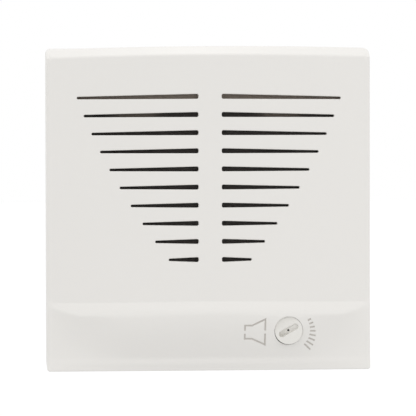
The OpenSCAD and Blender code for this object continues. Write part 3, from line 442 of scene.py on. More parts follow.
# Can capacitors: aluminium cans that stand on the board, each in a shrunk sleeve with a pale stripe
# down the side of its minus leg. A can has a rolled groove near its base and a bare, cross-scored top.
STRIPE_HALF = 0.42
SHOULDER_SHARE = 0.14
GROOVE_SHARE = 1 / 9
GROOVE_AT, GROOVE_TALL = 0.1, 0.12
FOOT_EDGE = 0.2
TOP_SHARE = 0.8
TOP_SINK = 0.12
LID_SHARE = 0.82
SCORE_W = 0.35


def can_sleeve(node, middle, radius, colour, stripe):
    """A sleeved can: its outline turned round its axis, painted by angle for the stripe."""
    back, front = span(node)[2:4]
    groove, tall = radius * GROOVE_SHARE, front - back
    turn = np.linspace(0, math.pi / 2, 6)
    ease = radius * SHOULDER_SHARE
    shoulder = np.stack([radius - ease + ease * np.cos(turn), front - ease + ease * np.sin(turn)], 1)
    waist = np.linspace(0, 1, 9)
    neck = np.stack([radius - groove * np.sin(math.pi * waist) ** 2,
                     back + tall * (GROOVE_AT + GROOVE_TALL * waist)], 1)
    foot = [[0, back], [radius - FOOT_EDGE, back], [radius, back + FOOT_EDGE]]
    outline = np.concatenate([foot, neck, shoulder,
                              [[radius * TOP_SHARE, front], [radius * TOP_SHARE, front - TOP_SINK],
                               [0, front - TOP_SINK]]])
    shape = turned(outline, middle, 64)
    angle = np.arctan2(shape[0][:, 2] - middle[1], shape[0][:, 0] - middle[0])
    striped = (np.abs(angle) < STRIPE_HALF)[:, None]
    return shape, np.where(striped, stripe, colour)


def can_lid(node, middle, radius):
    """The bare top: a disc a little below the sleeve's edge, with a raised cross between its scores."""
    front = span(node)[3]
    edge, under, over, arm = radius * LID_SHARE, front - 0.4, front - 0.1, radius * 0.55
    disc = turned([[0, under], [edge, under], [edge, over], [0, over]], middle, 48)
    cross = [[(middle[0] - arm, middle[1]), (middle[0] + arm, middle[1])],
             [(middle[0], middle[1] - arm), (middle[0], middle[1] + arm)]]
    return gather([disc, strips(cross, SCORE_W, front - 0.2, front - 0.04)])


sleeve = finish("can_sleeves", (1, 1, 1, 1), (0.9, 0.9, 0.9, 1), 0.34, grains=900, painted=True)
aluminium = finish("bare_aluminium", shade(214, 215, 217), shade(194, 196, 199), 0.34, grains=1500,
                   metallic=1.0)
shape, paint = can_sleeve("main_capacitor", main_can, main_r, shade(34, 46, 92), shade(150, 158, 176))
put("main_capacitor_can", shape, sleeve, "base", "can_sleeve", "main_capacitor", paint=paint)
smalls = [can_sleeve("small_capacitors", p, SMALL_CAN_R, shade(40, 40, 46), shade(178, 178, 176))
          for p in small_cans]
put("small_capacitor_cans", gather([s for s, _ in smalls]), sleeve, "base", "small_can_sleeve",
    "small_capacitors", paint=np.concatenate([p for _, p in smalls]))
lids = [can_lid("main_capacitor", main_can, main_r)]
lids += [can_lid("small_capacitors", p, SMALL_CAN_R) for p in small_cans]
put("capacitor_tops", gather(lids), aluminium, "base", "tinned")

# Diodes and resistors: four black epoxy diodes with a silver band at one end, and four lacquered
# resistors with colour bands. Their wire legs are bent down through the board and soldered.
LEG_OUT = 1.4
LEG_SUNK = 0.4
LEG_BEND = 0.7
TIP = 0.001
LEG_EASE = 0.02
AXIAL_SIDES = 24
DIODE_EDGE = 0.35
RESISTOR_EDGE = 0.55
RESISTOR_WAIST = 0.14
WAIST_HALF, WAIST_RUN = 0.3, 0.08


def tube(path, side, radius, sides=16):
    """A round section carried along a flat path: a ring of the given radius, one for each point, in
    the plane of `side` and the normal of the path. A radius of nothing at an end closes it."""
    path, side = np.asarray(path, float), np.asarray(side, float)
    along = np.gradient(path, axis=0)
    along /= np.linalg.norm(along, axis=1)[:, None]
    other = np.cross(along, side)
    a = np.linspace(0, 2 * math.pi, sides, endpoint=False)[:, None]
    radius = np.broadcast_to(radius, len(path))[:, None, None]
    points = path[:, None] + radius * (np.cos(a) * side + np.sin(a) * other[:, None])
    return points.reshape(-1, 3), grid_faces(len(path), sides, close_rows=False)


def capped(length, size, steps=33):
    """Places along a rod on both sides of its middle, and how far its radius draws in there: a quarter
    round of a size at each end."""
    a = np.linspace(0, math.pi / 2, 5)
    end = length / 2 - size * (1 - np.sin(a))
    u = np.concatenate([-end[::-1], np.linspace(-1, 1, steps)[1:-1] * (length / 2 - size), end])
    inward = np.concatenate([(1 - np.cos(a))[::-1], np.zeros(steps - 2), 1 - np.cos(a)])
    return u, inward * size


def bent_leg(x, z, way, start, mid, low):
    """A wire leg: out of the body along x, round a bend and down through the board."""
    a = np.linspace(0, math.pi / 2, 7)
    root = start - LEG_SUNK
    x_run = np.concatenate([[root, root], AXIAL_SPAN - LEG_BEND + LEG_BEND * np.sin(a),
                            [AXIAL_SPAN, AXIAL_SPAN]])
    d_run = np.concatenate([[mid, mid], mid - LEG_BEND + LEG_BEND * np.cos(a), [low, low]])
    path = np.stack([x + way * x_run, -d_run, np.full(len(x_run), z)], 1)
    path[1] += [TIP * way, 0, 0]
    path[-2] += [0, -TIP, 0]
    thick = np.full(len(path), LEG_R - LEG_EASE)
    thick[[0, -1]] = 0
    return tube(path, (0, 0, 1), thick, 12)


def axial_body(x, z, mid, length, thick, size, waist):
    """A rod along x with rounded ends, drawn in by `waist` over its middle."""
    u, inward = capped(length, size)
    middle = np.clip((length * WAIST_HALF - np.abs(u)) / (length * WAIST_RUN), 0, 1)
    radius = np.maximum(thick / 2 - inward, 0) - waist * middle * middle * (3 - 2 * middle)
    radius[[0, -1]] = 0
    path = np.stack([x + u, np.full(len(u), -mid), np.full(len(u), z)], 1)
    return tube(path, (0, 0, 1), radius, AXIAL_SIDES), np.repeat(u, AXIAL_SIDES)


def banded(u, ground, bands):
    """Paint along a rod: a ground colour and bands of (from, to, colour)."""
    paint = np.tile(ground, (len(u), 1))
    for start, end, colour in bands:
        paint[(u >= start) & (u <= end)] = colour
    return paint


leg_low = BOARD[2] - LEG_OUT
diode_mid = DIODE[3] - DIODE_D / 2
resistor_mid = RESISTOR[3] - RESISTOR_D / 2
lacquer = finish("axial_lacquer", (1, 1, 1, 1), (0.92, 0.92, 0.92, 1), 0.4, grains=1300, painted=True)
SILVER, BROWN, BLACK = shade(198, 198, 198), shade(96, 54, 28), shade(24, 24, 24)
RED, GOLD, TAN = shade(170, 36, 28), shade(178, 136, 52), shade(206, 178, 132)
diodes = [axial_body(diode_x, z, diode_mid, DIODE_L, DIODE_D, DIODE_EDGE, 0.0) for z in diode_z]
put("rectifier_diode_bodies", gather([s for s, _ in diodes]), lacquer, "base", "diode_epoxy",
    "rectifier_diodes", paint=np.concatenate(
        [banded(u, shade(36, 36, 38), [(1.2, 2.0, SILVER)]) for _, u in diodes]))
resistor_bodies = [axial_body(x, z, resistor_mid, RESISTOR_L, RESISTOR_D, RESISTOR_EDGE, RESISTOR_WAIST)
                   for x in resistor_x for z in resistor_z]
bands = [(-2.5, -1.9, BROWN), (-1.35, -0.8, BLACK), (-0.3, 0.25, RED), (1.6, 2.2, GOLD)]
put("resistor_bodies", gather([s for s, _ in resistor_bodies]), lacquer, "base", "resistor_lacquer",
    "resistors", paint=np.concatenate([banded(u, TAN, bands) for _, u in resistor_bodies]))
legs = [bent_leg(diode_x, z, s, DIODE_L / 2, diode_mid, leg_low) for z in diode_z for s in (-1, 1)]
legs += [bent_leg(x, z, s, RESISTOR_L / 2, resistor_mid, leg_low)
         for x in resistor_x for z in resistor_z for s in (-1, 1)]
put("axial_legs", gather(legs), tinned, "base", "tinned")

# Driver transistor: a half-round body of black epoxy, moulded round three wire legs. It stands on them
# between the loudspeaker's two leads, soldered to the board.
TRANSISTOR_FLAT = 0.5
LEG_RISE = 2.0
LEG_SHARE = 0.93


def prism(outline, middle, steps):
    """An outline about a middle, scaled and placed at each (scale, depth) step; a scale of nothing
    closes the end."""
    outline = np.asarray(outline, float)
    scale, depth = np.asarray(steps, float).T
    flat = np.asarray(middle) + scale[:, None, None] * outline
    points = np.stack([flat[..., 0], np.broadcast_to(-depth[:, None], flat.shape[:2]), flat[..., 1]], 2)
    return points.reshape(-1, 3), grid_faces(len(scale), len(outline), close_rows=False)


flat_turn = math.asin(TRANSISTOR_FLAT)
turn = np.linspace(-flat_turn, math.pi + flat_turn, 40)
half_round = TRANSISTOR_R * np.stack([np.cos(turn), np.sin(turn)], 1)
low, high = board_face + LEG_RISE, TRANSISTOR[3]
body_steps = [(0, low), (0.9, low), (1, low + 0.2), (1, high - 0.25), (0.97, high - 0.1), (0.9, high),
              (0, high)]
put("transistor_body", prism(half_round, (transistor_x, transistor_z), body_steps), epoxy, "base",
    "chip_epoxy", "driver_transistor")
straight = np.array([leg_low, leg_low + TIP, low + 0.1, low + 0.1 + TIP])
posts = [tube(np.stack([np.full(4, x), -straight, np.full(4, transistor_z)], 1), (1, 0, 0),
              np.array([0, LEG_R, LEG_R, 0]) * LEG_SHARE, 12) for x in transistor_legs]
put("transistor_legs", gather(posts), tinned, "base", "tinned")

# Loudspeaker frame and magnet: a pressed steel basket in black paint, with a ferrite ring gripped
# between a zinc-plated ring and the yoke, glued to the back of the basket.
FRAME = span("speaker_frame")
front = FRAME[3]
axis = middle_of(FRAME)
BASKET_EDGE = 0.12
ROUND_STEPS = 5
black_paint = finish("black_paint", shade(52, 52, 54), shade(42, 42, 44), 0.42, grains=1400, relief=0.006)
eased("speaker_basket", "speaker_frame", BASKET_EDGE, black_paint, "base")


def rounded(corners, size, steps=ROUND_STEPS):
    """A closed outline with its corners eased: from `size` before to `size` after a corner it follows
    the parabola that touches both sides."""
    p = np.asarray(corners, float)
    before, after = np.roll(p, 1, 0) - p, np.roll(p, -1, 0) - p
    a, b = (p + np.minimum(size / np.linalg.norm(v, axis=1), 0.45)[:, None] * v for v in (before, after))
    s = np.linspace(0, 1, steps)[:, None]
    curve = (1 - s) ** 2 * a[:, None] + 2 * s * (1 - s) * p[:, None] + s ** 2 * b[:, None]
    return curve.reshape(-1, 2)


def ring_outline(node, bore):
    """Outline of a flat ring from its node's box and its bore."""
    box = span(node)
    r, (back, ahead) = half_width(box), box[2:4]
    return np.array([[bore, back], [r, back], [r, ahead], [bore, ahead]])


COIL_BORE = 7.3
POLE_R = 6.2
MAGNET_BORE = COIL_BORE + 1
MAGNET_EDGE = 0.5
FRONT_RING_EDGE = 0.2
YOKE_EDGE = 0.25
ferrite = finish("ferrite", shade(74, 74, 77), shade(60, 60, 63), 0.6, grains=1700, fleck=0.5, relief=0.02)
magnet_line = rounded(ring_outline("ring_magnet", MAGNET_BORE), MAGNET_EDGE)
put("ring_magnet_ferrite", turned(magnet_line, axis, 96), ferrite, "base", "ferrite", "ring_magnet")
front_ring_line = rounded(ring_outline("magnet_top_plate", COIL_BORE), FRONT_RING_EDGE)
put("magnet_front_ring", turned(front_ring_line, axis, 96), zinc, "base", "zinc_steel", "magnet_top_plate")
YOKE = span("magnet_yoke")
YOKE_T = 2.3
yoke_r = half_width(YOKE)
yoke_line = rounded([[0, YOKE[3]], [POLE_R, YOKE[3]], [POLE_R, YOKE[2] + YOKE_T],
                     [yoke_r, YOKE[2] + YOKE_T], [yoke_r, YOKE[2]], [0, YOKE[2]]], YOKE_EDGE)
yoke_line = np.concatenate([[[0, YOKE[3]]], yoke_line[ROUND_STEPS:-ROUND_STEPS], [[0, YOKE[2]]]])
put("magnet_yoke_steel", turned(yoke_line, axis, 96), zinc, "base", "zinc_steel", "magnet_yoke")

# Voice coil and centring disc: copper wire wound on a paper tube, held in the middle of the magnet's
# gap by a disc of resin-stiffened cloth pressed into rings, which gives way as the coil moves.
FORMER_R = 6.5
FORMER_T = 0.2
WIRE_TURNS = 18
WIRE_BULGE = 0.07
GLUE = 0.02
WINDING = span("coil_winding")
DISC = span("centring_disc")
DISC_T = 0.22
winding_in, winding_out = FORMER_R + FORMER_T + GLUE, half_width(WINDING)
lay = np.linspace(0, 1, WIRE_TURNS * 8 + 1)
bulge = winding_out - WIRE_BULGE + WIRE_BULGE * np.abs(np.sin(math.pi * WIRE_TURNS * lay))
wire_depth = WINDING[2] + (WINDING[3] - WINDING[2]) * lay
wound = np.concatenate([np.stack([bulge, wire_depth], 1),
                        [[winding_in, WINDING[3]], [winding_in, WINDING[2]]]])
copper = finish("enamelled_copper", shade(196, 112, 64), shade(170, 92, 50), 0.3, grains=2400, metallic=1.0)
put("voice_coil_wire", turned(wound, axis, 72), copper, "cone", "copper", "coil_winding")
FORMER = span("coil_former")
former_line = [[FORMER_R, FORMER[2]], [FORMER_R + FORMER_T, FORMER[2]], [FORMER_R + FORMER_T, FORMER[3]],
               [FORMER_R, FORMER[3]]]
former_paper = finish("former_paper", shade(178, 136, 82), shade(160, 118, 68), 0.7, grains=1900, relief=0.02)
put("voice_coil_tube", turned(former_line, axis, 72), former_paper, "cone", "former_paper", "coil_former")


def sheet_outline(r, d, thick):
    """Outline of a thin turned sheet: its front line out, and its back line home again."""
    return np.concatenate([np.stack([r, d], 1), np.stack([r, d - thick], 1)[::-1]])


DISC_RINGS = 5
DISC_RISE = 0.45
DISC_WAVE = 0.2
WAVE_FADE = 8
disc_r = half_width(DISC)
share = np.linspace(0, 1, 90)
faded = np.clip(np.minimum(share, 1 - share) * WAVE_FADE, 0, 1)
wave = faded * DISC_WAVE * np.sin(2 * math.pi * DISC_RINGS * share)
disc_line = sheet_outline(winding_in + (disc_r - winding_in) * share,
                          DISC[2] + DISC_T + DISC_RISE * (1 - share) ** 2 + wave, DISC_T)
disc_cloth = finish("resin_cloth", shade(196, 158, 92), shade(168, 130, 72), 0.8, grains=2200, fleck=0.7,
                    relief=0.03)
disc = put("centring_disc_cloth", turned(disc_line, axis, 96), disc_cloth, None, "disc_cloth",
           "centring_disc", sharp=60)
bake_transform(disc)

# Cone, dust cap and pleated edge: black paper pulp pressed with shallow rings, a domed cap over the
# coil, and a cloth edge in two small rolls, glued to the cone and to the rim of the basket.
CONE_T = 0.4
CONE = span("speaker_cone")
NECK_R = 6.72
CONE_RINGS = 4
CONE_PRESS = 0.1
PRESS_FADE = 6
cone_r = half_width(CONE)
share = np.linspace(0, 1, 100)
faded = np.clip(np.minimum(share, 1 - share) * PRESS_FADE, 0, 1)
press = CONE_PRESS * np.sin(2 * math.pi * CONE_RINGS * share) * faded
mouth = CONE[2] + 2 * CONE_T
cone_line = sheet_outline(NECK_R + (cone_r - NECK_R) * share, mouth + (CONE[3] - mouth) * share + press,
                          CONE_T)
paper = finish("paper_pulp", shade(38, 38, 38), shade(28, 28, 28), 0.86, grains=1500, fleck=0.8, relief=0.05)
put("speaker_cone_paper", turned(cone_line, axis, 128), paper, "cone", "paper_black", "speaker_cone",
    sharp=60)
CAP = span("dust_cap")
CAP_T = 0.4
CAP_RIM = 0.6
CAP_EDGE = 0.1
cap_r = half_width(CAP)
share = np.linspace(0, 1, 40)
dome = CAP[2] + CAP_EDGE + (CAP[3] - CAP[2] - CAP_EDGE) * (1 - share ** 2)
cap_line = np.concatenate([np.stack([cap_r * share, dome], 1), [[cap_r, CAP[2]], [cap_r - CAP_RIM, CAP[2]]],
                           np.stack([(cap_r - CAP_RIM) * share[::-1], dome[::-1] - CAP_T], 1)])
cap_felt = finish("cap_felt", shade(44, 44, 44), shade(32, 32, 32), 0.9, grains=2600, fleck=0.9, relief=0.04)
put("dust_cap_dome", turned(cap_line, axis, 72), cap_felt, "cone", "paper_black", "dust_cap", sharp=60)
EDGE_CLOTH = span("cone_surround")
EDGE_T = 0.22
ROLL_OUT = 21.2
ROLL_RISE = 0.16
EDGE_FALL = 0.6
EDGE_UP = 0.24
CONE_LAP = 0.1
edge_out = half_width(EDGE_CLOTH)
glued = np.linspace(0, 1, 12)[:-1]
rolls = np.linspace(0, 1, 60)
edge_r = np.concatenate([edge_out + (ROLL_OUT - edge_out) * glued,
                         ROLL_OUT + (cone_r + CONE_LAP - ROLL_OUT) * rolls])
rolled = -EDGE_FALL * rolls - ROLL_RISE * np.sin(4 * math.pi * rolls)
edge_d = np.concatenate([np.zeros(len(glued)), rolled]) + front + EDGE_UP
edge_cloth = finish("edge_cloth", shade(46, 45, 44), shade(34, 33, 33), 0.85, grains=2400, fleck=0.8,
                    relief=0.03)
edge_piece = put("cone_edge_cloth", turned(sheet_outline(edge_r, edge_d, EDGE_T), axis, 128), edge_cloth,
                 None, "cloth_edge", "cone_surround", sharp=60)
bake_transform(edge_piece)

# Sealing ring: open foam cut as a ring, stuck to the rim of the loudspeaker so that it closes against
# the inside of the cover.
GASKET_BORE = 22.0
GASKET_EDGE = 0.6
FOAM_CELLS = 1500
FOAM_PITS = 0.25


def foam_finish(name, colour, deep):
    """Open foam: the grained finish with its bump from rounded cells and the pits between them."""
    material = finish(name, colour, deep, 0.95, grains=1200, fleck=0.6, relief=0.05)
    nodes, links = material.node_tree.nodes, material.node_tree.links
    place = nodes.new("ShaderNodeTexCoord")
    cells = nodes.new("ShaderNodeTexVoronoi")
    cells.inputs["Scale"].default_value = FOAM_CELLS
    links.new(place.outputs["Object"], cells.inputs["Vector"])
    bump = nodes.new("ShaderNodeBump")
    bump.inputs["Distance"].default_value = FOAM_PITS * MM
    bump.invert = True
    links.new(cells.outputs["Distance"], bump.inputs["Height"])
    links.new(bump.outputs["Normal"], nodes["Principled BSDF"].inputs["Normal"])
    return material


gasket_line = rounded(ring_outline("speaker_gasket", GASKET_BORE), GASKET_EDGE, 6)
foam = foam_finish("sealing_foam", shade(150, 139, 128), shade(122, 112, 103))
gasket = put("speaker_gasket_foam", turned(gasket_line, axis, 128), foam, "base", "foam", "speaker_gasket")

# Tag strip: a strip of brown card behind the rim of the basket, with two plated brass tags riveted to
# it for the leads.
CARD_EDGE = 0.1
TAG_EDGE = 0.08
card = finish("brown_card", shade(126, 84, 48), shade(106, 68, 38), 0.75, grains=1600, fleck=0.7, relief=0.02)
eased("tag_strip_card", "tag_board", CARD_EDGE, card, "base")
plated_brass = finish("plated_brass", shade(212, 194, 142), shade(190, 170, 118), 0.3, grains=1200,
                      metallic=1.0)
eased("solder_tag_plates", "solder_tags", TAG_EDGE, plated_brass, "base")
dress(tinned, "tag_rivets")

# Loudspeaker fixings: black-oxide pan screws into the plate's posts, each over a washer that grips
# the rim of the basket.
PAN_EDGE = 0.2
WASHER_EDGE = 0.1
black_oxide = finish("black_oxide", shade(60, 60, 63), shade(46, 46, 48), 0.38, grains=1300, metallic=0.8)
eased("speaker_pan_screws", "speaker_screws", PAN_EDGE, black_oxide, "base")
eased("speaker_grip_washers", "speaker_washers", WASHER_EDGE, black_oxide, "base")

# Loudspeaker leads: one red and one black insulated wire, soldered to a tag at one end and to the
# board at the other, with enough slack to lift the loudspeaker out.
TAGS = span("solder_tags")
LEAD_R = 0.58
LEAD_BOW = 3.4
LEAD_STEPS = 61
BARE_SHARE = 0.6
BARE_FROM, BARE_TO = 0.06, 0.95
TOUCH = 0.02
tag_z = TAGS[4] + LEAD_IN / 2
t = np.linspace(0, 1, LEAD_STEPS)
swing = np.sin(math.pi / 2 * t) ** 2
run_z = (1 - swing) * tag_z + swing * lead_z - LEAD_BOW * np.sin(math.pi * t) ** 2
run_d = (1 - t) * (TAGS[2] - TOUCH) + t * (board_face + TOUCH)
thick = np.where((t < BARE_FROM) | (t > BARE_TO), LEAD_R * BARE_SHARE, LEAD_R)
thick[[0, -1]] = 0
solder_foot = np.array([[0, -0.02], [0.95, -0.02], [0.85, 0.25], [0.62, 0.6], [0.3, 0.78], [0, 0.8]])
blobs = []
for way, colour, tone, second in ((1, "red", shade(186, 36, 28), shade(166, 28, 22)),
                                  (-1, "black", shade(34, 34, 34), shade(44, 44, 44))):
    insulation = finish("lead_" + colour, tone, second, 0.45, grains=900)
    path = np.stack([np.full(LEAD_STEPS, way * LEAD_X), -run_d, run_z], 1)
    put(f"speaker_lead_{colour}_wire", tube(path, (1, 0, 0), thick, 16), insulation, "base",
        "lead_" + colour, "speaker_lead_" + colour, sharp=60)
    blobs.append(turned(solder_foot + [0, board_face], (way * LEAD_X, lead_z), 24))
    blobs.append(turned(np.array([0, TAGS[2]]) + solder_foot * [0.9, -0.9], (way * LEAD_X, tag_z), 24))
put("lead_solder", gather(blobs), tinned, "base", "tinned")

# Front cover: one thin-walled moulding in off-white satin plastic. Its bowed front has the sound
# slots, the band with the knob's hole and the engraved scale, and it pushes onto the plate's rim.
COVER = span("front_cover")
CASE = COVER[1]
SEAT = COVER[2]
WALL = 2.0
FACE_R = 205.0
AXIS = 174.0
BEVEL_H = 2.4
BEVEL_SLOPE = 4.0 / BEVEL_H
BEVEL_SHIFT = 0.566
BEVEL_SOFT = 0.4
TOP_ARCH = 0.6
TOP_PEAK = 10.5
CORNER_TOP = 1.5
CORNER_LOW = 0.8
BAND_TOP = -26.0
RAMP_SLOPE = 1.3 / 3.4
RAMP_ARCH = 0.45
RAMP_STEEPER = 0.33
RAMP_SOFT = 0.15
RAMP_ABOVE = 0.3
BAND_OUT = 1.3
BAND_END = 36.0
BAND_STOP = 45.7
BAND_END_TURN = 3
END_FROM = 20
END_OVER = 22
END_SOFT = 0.06
CREST_SOFT = 0.7
CREST_SOFT_LESS = 0.4
FALL_MOST = 1.4
LIP = 28.0
LIP_BOW = 1.7
LIP_TOP = -41.5
LIP_FLARE = 0.12
FLARE_MIDDLE, FLARE_SIDE = 0.3, 0.8
FLARE_SOFT = 0.5
LIP_SOFT = 0.3
TUCK_TOP = -42.0
TUCK_RUN = 2.5
TUCK = 0.85
EDGE = 0.7
EDGE_LOW = -41
EDGE_LOW_RUN = 2
KNOB = span("volume_knob")
KNOB_X, KNOB_Z = middle_of(KNOB)
KNOB_GROW = 0.12
KNOB_R = half_width(KNOB) + KNOB_GROW
HOLE_GAP = 0.11
HOLE_R = KNOB_R + HOLE_GAP
HOLE_DROP = 0.085
HOLE_X, HOLE_Z = KNOB_X, KNOB_Z - HOLE_DROP
HOLE_EDGE = 0.05
RING_N = 96
COLLAR_T = 1.3
COLLAR_L = 4.5
COLLAR_R = HOLE_R + COLLAR_T
COLLAR_END = KNOB[3] - COLLAR_L
SLOT_EDGE = 0.22
GROOVE_W = 0.45
GROOVE_D = 0.2


def arc_through(p, q, turn):
    """Circle through q that leaves p at a right angle to the direction `turn`: its middle and radius."""
    p, q = np.array(p), np.array(q)
    n = np.array([math.cos(turn), math.sin(turn)])
    r = -((q - p) @ (q - p)) / (2 * ((q - p) @ n))
    return p - r * n, r


def bowed(x, radius):
    """Depth at x of a drum of a radius, whose upright axis lies behind the case."""
    return np.sqrt(radius ** 2 - x ** 2) - AXIS


def top_fall(x):
    """How far the arched top lies below the case's height at x: a parabola from its peak."""
    return TOP_ARCH * ((x - TOP_PEAK) / CASE) ** 2


def soft_step(t, s):
    """Zero, then a parabola over the width 2s, then t."""
    return np.where(t > s, t, np.where(t < -s, 0, (t + s) ** 2 / (4 * s)))


def soft_min(a, b, k):
    """The lower of two surfaces, rounded where they cross within k."""
    return np.minimum(a, b) - np.maximum(k - np.abs(a - b), 0) ** 2 / (4 * k)


end_turn = math.pi / 2 - math.asin(BAND_END / FACE_R) - math.radians(BAND_END_TURN)
end_mid, end_r = arc_through((BAND_END, bowed(BAND_END, FACE_R) + BAND_OUT),
                             (BAND_STOP, bowed(BAND_STOP, FACE_R)), end_turn)


def front_depth(x, z, inset=0.0):
    """Depth of the front at x, z: a drum, less the bevel along its arched top, with the band laid over
    it: a ramp, higher and steeper towards the middle, up to the crest, whose ends are arcs. Below the
    crest the surface falls to the lip, in the middle by a quarter cosine, which starts level, and at
    the ends by a quarter sine, which starts steep. The lip has a flatter bow and flares a little, and
    its lower edge is tucked in."""
    side = (x / CASE) ** 2
    drop = BEVEL_SLOPE * soft_step(z + top_fall(x) - CASE + BEVEL_H + inset * BEVEL_SHIFT, BEVEL_SOFT)
    face = bowed(x, FACE_R - inset - drop)
    flat = bowed(x, FACE_R - inset)
    past = np.clip(np.abs(x) - end_mid[0], None, end_r - inset)
    ends = end_mid[1] + np.sqrt((end_r - inset) ** 2 - past ** 2)
    ends = np.where(np.abs(x) < BAND_END, CASE + AXIS, ends)
    crest = np.maximum(flat, soft_min(bowed(x, FACE_R - inset + BAND_OUT), ends, END_SOFT))
    middle = (1 - side) ** 3
    foot = BAND_TOP + RAMP_ARCH * middle
    slope = RAMP_SLOPE * (1 + RAMP_STEEPER * middle)
    crest_z = foot - (crest - flat) / slope
    ramp = bowed(x, FACE_R - inset + slope * soft_step(foot - z, RAMP_SOFT))
    end_share = np.clip((np.abs(x) - END_FROM) / END_OVER, 0, 1)
    end_share = end_share ** 2 * (3 - 2 * end_share)
    flare = LIP_FLARE * (FLARE_MIDDLE + FLARE_SIDE * side) * soft_step(LIP_TOP - z, FLARE_SOFT)
    lip = LIP - inset - LIP_BOW * side + flare
    t = np.maximum(crest_z - z, 0) / (crest_z - LIP_TOP)
    fall = ((1 - end_share) * (1 - np.cos(math.pi / 2 * np.minimum(t, FALL_MOST)))
            + end_share * np.sin(math.pi / 2 * np.minimum(t, 1)))
    under = -soft_min(-(crest - (crest - lip) * fall), -lip, LIP_SOFT)
    under = under - TUCK * (1 - side) * np.clip((TUCK_TOP - z) / TUCK_RUN, 0, 1) ** 2
    body = soft_min(ramp, under, CREST_SOFT - CREST_SOFT_LESS * end_share)
    return np.where(z > foot + RAMP_ABOVE, face, np.where(z > crest_z, np.maximum(flat, body), body))


def case_outline(inset, arched=True):
    """Outline of the case, set in: straight sides, an arched top and four corner arcs, in even steps.
    The inside and the rear edge keep a straight top."""
    turn = np.linspace(0, math.pi / 2, 9)
    run = np.linspace(0, 1, 73)[1:-1]
    parts = []
    h = CASE - inset
    corners = ((1, 1, CORNER_TOP), (-1, 1, CORNER_TOP), (-1, -1, CORNER_LOW), (1, -1, CORNER_LOW))
    for k, (sx, sz, r) in enumerate(corners):
        r = max(r - inset, 0.05)
        a = turn + k * math.pi / 2
        parts.append(np.stack([sx * (h - r) + r * np.cos(a), sz * (h - r) + r * np.sin(a)], 1))
    loop = []
    for k in range(4):
        p, q = parts[k][-1], parts[(k + 1) % 4][0]
        loop += [parts[k], p + run[:, None] * (q - p)]
    loop = np.concatenate(loop)
    if arched:
        loop[:, 1] -= top_fall(loop[:, 0]) * np.clip(loop[:, 1] / h, 0, 1)
    return loop


SLOT_ROWS = 10
SLOTS = 2 * SLOT_ROWS
SLOT_TOP, SLOT_PITCH = 31.0, 5
SLOT_LONG, SLOT_LESS, SLOT_SWELL = 36.6, 25.1, 9.2
SLOT_DIP = 0.42
SLOT_IN, SLOT_W_IN, SLOT_W_OUT = 3.2, 1.35, 0.7
rows = np.arange(SLOT_ROWS)
down = rows / (SLOT_ROWS - 1)
slot_z = SLOT_TOP - SLOT_PITCH * rows
slot_end = SLOT_LONG - SLOT_LESS * down + SLOT_SWELL * down * (1 - down)
slot_dip = SLOT_DIP * (slot_end / slot_end[0]) ** 2
slot_side = np.repeat([1.0, -1.0], SLOT_ROWS)


def slot_loops(grow):
    """Outlines of the twenty slots, let out by `grow`: a round outer end, a little lower, a taper and
    a blunt inner end."""
    r, c, h = SLOT_W_OUT / 2, SLOT_W_IN / 3, SLOT_W_IN / 2
    a = np.linspace(-math.pi / 2, math.pi / 2, 11)
    b = np.linspace(math.pi / 2, math.pi, 6)
    run = np.linspace(0, 1, 28)[1:-1]
    end, dip = np.tile(slot_end, 2)[:, None], np.tile(slot_dip, 2)[:, None]
    out_x = end - r + (r + grow) * np.cos(a)
    out_z = (r + grow) * np.sin(a) - dip
    in_x = np.broadcast_to(SLOT_IN + c + (c + grow) * np.cos(b), (SLOTS, len(b)))
    in_z = np.broadcast_to(h - c + (c + grow) * np.sin(b), (SLOTS, len(b)))
    upper_x = out_x[:, -1:] + run * (in_x[:, :1] - out_x[:, -1:])
    upper_z = out_z[:, -1:] + run * (in_z[:, :1] - out_z[:, -1:])
    lower_z = -in_z[:, :1] + run * (out_z[:, :1] + in_z[:, :1])
    x = np.concatenate([out_x, upper_x, in_x, in_x[:, ::-1], upper_x[:, ::-1]], 1)
    z = np.concatenate([out_z, upper_z, in_z, -in_z[:, ::-1], lower_z], 1)
    return np.stack([x * slot_side[:, None], z + np.tile(slot_z, 2)[:, None]], 2)


def ring(radius, count=RING_N):
    """Circle round the knob's hole, which sits a little low, as moulded."""
    a = np.linspace(0, 2 * math.pi, count, endpoint=False)
    return np.stack([HOLE_X + radius * np.cos(a), HOLE_Z + radius * np.sin(a)], 1)


def stroke(line, grow):
    """Outline of an engraved line: its points moved to both sides by `grow`, mitred at the bends."""
    line = np.asarray(line, float)
    step = np.diff(line, axis=0)
    step /= np.linalg.norm(step, axis=1)[:, None]
    way = np.stack([-step[:, 1], step[:, 0]], 1)
    before, after = np.vstack([way[:1], way]), np.vstack([way, way[-1:]])
    mitre = (before + after) / (1 + (before * after).sum(1))[:, None]
    line = line.copy()
    line[0] -= step[0] * grow
    line[-1] += step[-1] * grow
    return np.concatenate([line + mitre * grow, (line - mitre * grow)[::-1]])


